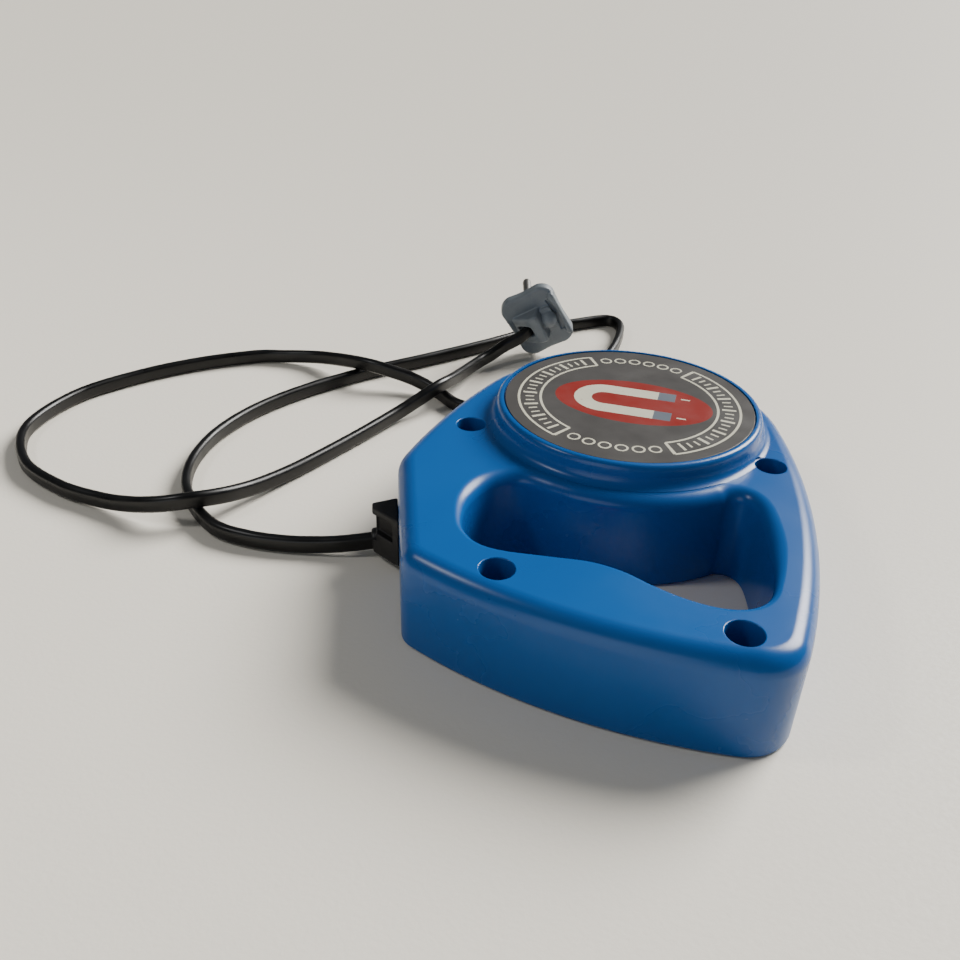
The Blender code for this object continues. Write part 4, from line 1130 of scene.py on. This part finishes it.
nylon = moulded("white_nylon", (0.72, 0.71, 0.66), 0.45)
live_skin = moulded("brown_pvc_lead", (0.13, 0.05, 0.02), 0.42, 2.0)
sheets = striped("stacked_steel_sheet", (0.30, 0.31, 0.33), (0.06, 0.05, 0.05), 0.42, 1.0, 1, 0.5, 0.06)
wire = striped("enamelled_wire", (0.52, 0.17, 0.06), (0.12, 0.03, 0.01), 0.30, 0.85, 2, 0.42, 0.10)
INSIDE = {
    "core_laminations": sheets,
    "coil_winding": wire,
    "coil_tape": moulded("yellow_polyester_tape", (0.72, 0.48, 0.05), 0.30),
    "core_strap": metal("zinc_plated_strap", (0.62, 0.62, 0.60), 0.26, 0.46, (0.1, 1, 1)),
    "switch_body": moulded("black_phenolic", (0.016, 0.016, 0.018), 0.40),
    "cord_tail": black_cord.material,
    **dict.fromkeys(("lead_live", "lead_switched", "lead_cutout"), live_skin),
    "lead_neutral": moulded("light_blue_pvc_lead", (0.03, 0.13, 0.42), 0.42, 2.0),
    "thermal_cutout": moulded("white_cutout_case", (0.78, 0.77, 0.73), 0.38),
    **dict.fromkeys(("coil_bobbin", "switch_plunger", "cord_clamp"), nylon),
    **dict.fromkeys(("crimp_sleeve_1", "crimp_sleeve_2"), nylon),
}
for name, inner_material in INSIDE.items():
    mesh = nodes[name].data
    mesh.materials.clear()
    mesh.materials.append(inner_material)
print(len(INSIDE), "inner pieces finished")

# %% [markdown]
# ## Worktop and light
#
# A pale worktop with a faint grain, a broad window light from behind and the right, the room's weak light
# low from the front, a small lamp that draws a highlight on the near corner, and an even dim surround.

# %% Worktop and light
WORKTOP_REACH, WORKTOP_DROP = 20000, 0.05
top = bmesh.new()
bmesh.ops.create_grid(top, x_segments=1, y_segments=1, size=WORKTOP_REACH)
floor = place("worktop", top, Matrix.Translation((0, 0, -WORKTOP_DROP)))
pale = Finish("pale_worktop", (0.78, 0.735, 0.645), 0.6, specular=0.3)
grain = pale.noise(1.6, 3)
pale.relief(grain, 0.12, 0.5).gloss(contrast(grain, 0.3, 0.7), 0.5, 0.65)
floor.data.materials.append(pale.material)


def light_up(name, kind, strength, colour, direction):
    """Adds a light that shines in this direction, and returns it."""
    lamp = bpy.data.lights.new(name, kind)
    lamp.energy, lamp.color = strength, colour
    light = bpy.data.objects.new(name, lamp)
    light.rotation_euler = direction.to_track_quat("-Z", "Y").to_euler()
    bpy.context.scene.collection.objects.link(light)
    return light


def distant_light(name, direction, strength, spread, colour):
    light_up(name, "SUN", strength, colour, Vector(direction)).data.angle = math.radians(spread)


def square_light(name, place_at, side, watts, colour):
    """A square lamp that shines at the middle of the frame."""
    light = light_up(name, "AREA", watts, colour, -Vector(place_at))
    light.location, light.data.size = place_at, side


distant_light("window", (-0.55, -0.75, -0.66), 7.6, 32, (1.0, 0.985, 0.955))
distant_light("room", (0.22, 0.95, -0.16), 0.6, 40, (0.93, 0.97, 1.0))
square_light("front_lamp", (-0.45, -0.25, 0.55), 0.10, 0.9, (1.0, 1.0, 1.0))
world = bpy.data.worlds.new("surround")
world.use_nodes = True
world.node_tree.nodes["Background"].inputs[0].default_value = (0.80, 0.83, 0.86, 1)
world.node_tree.nodes["Background"].inputs[1].default_value = 0.15
bpy.context.scene.world = world
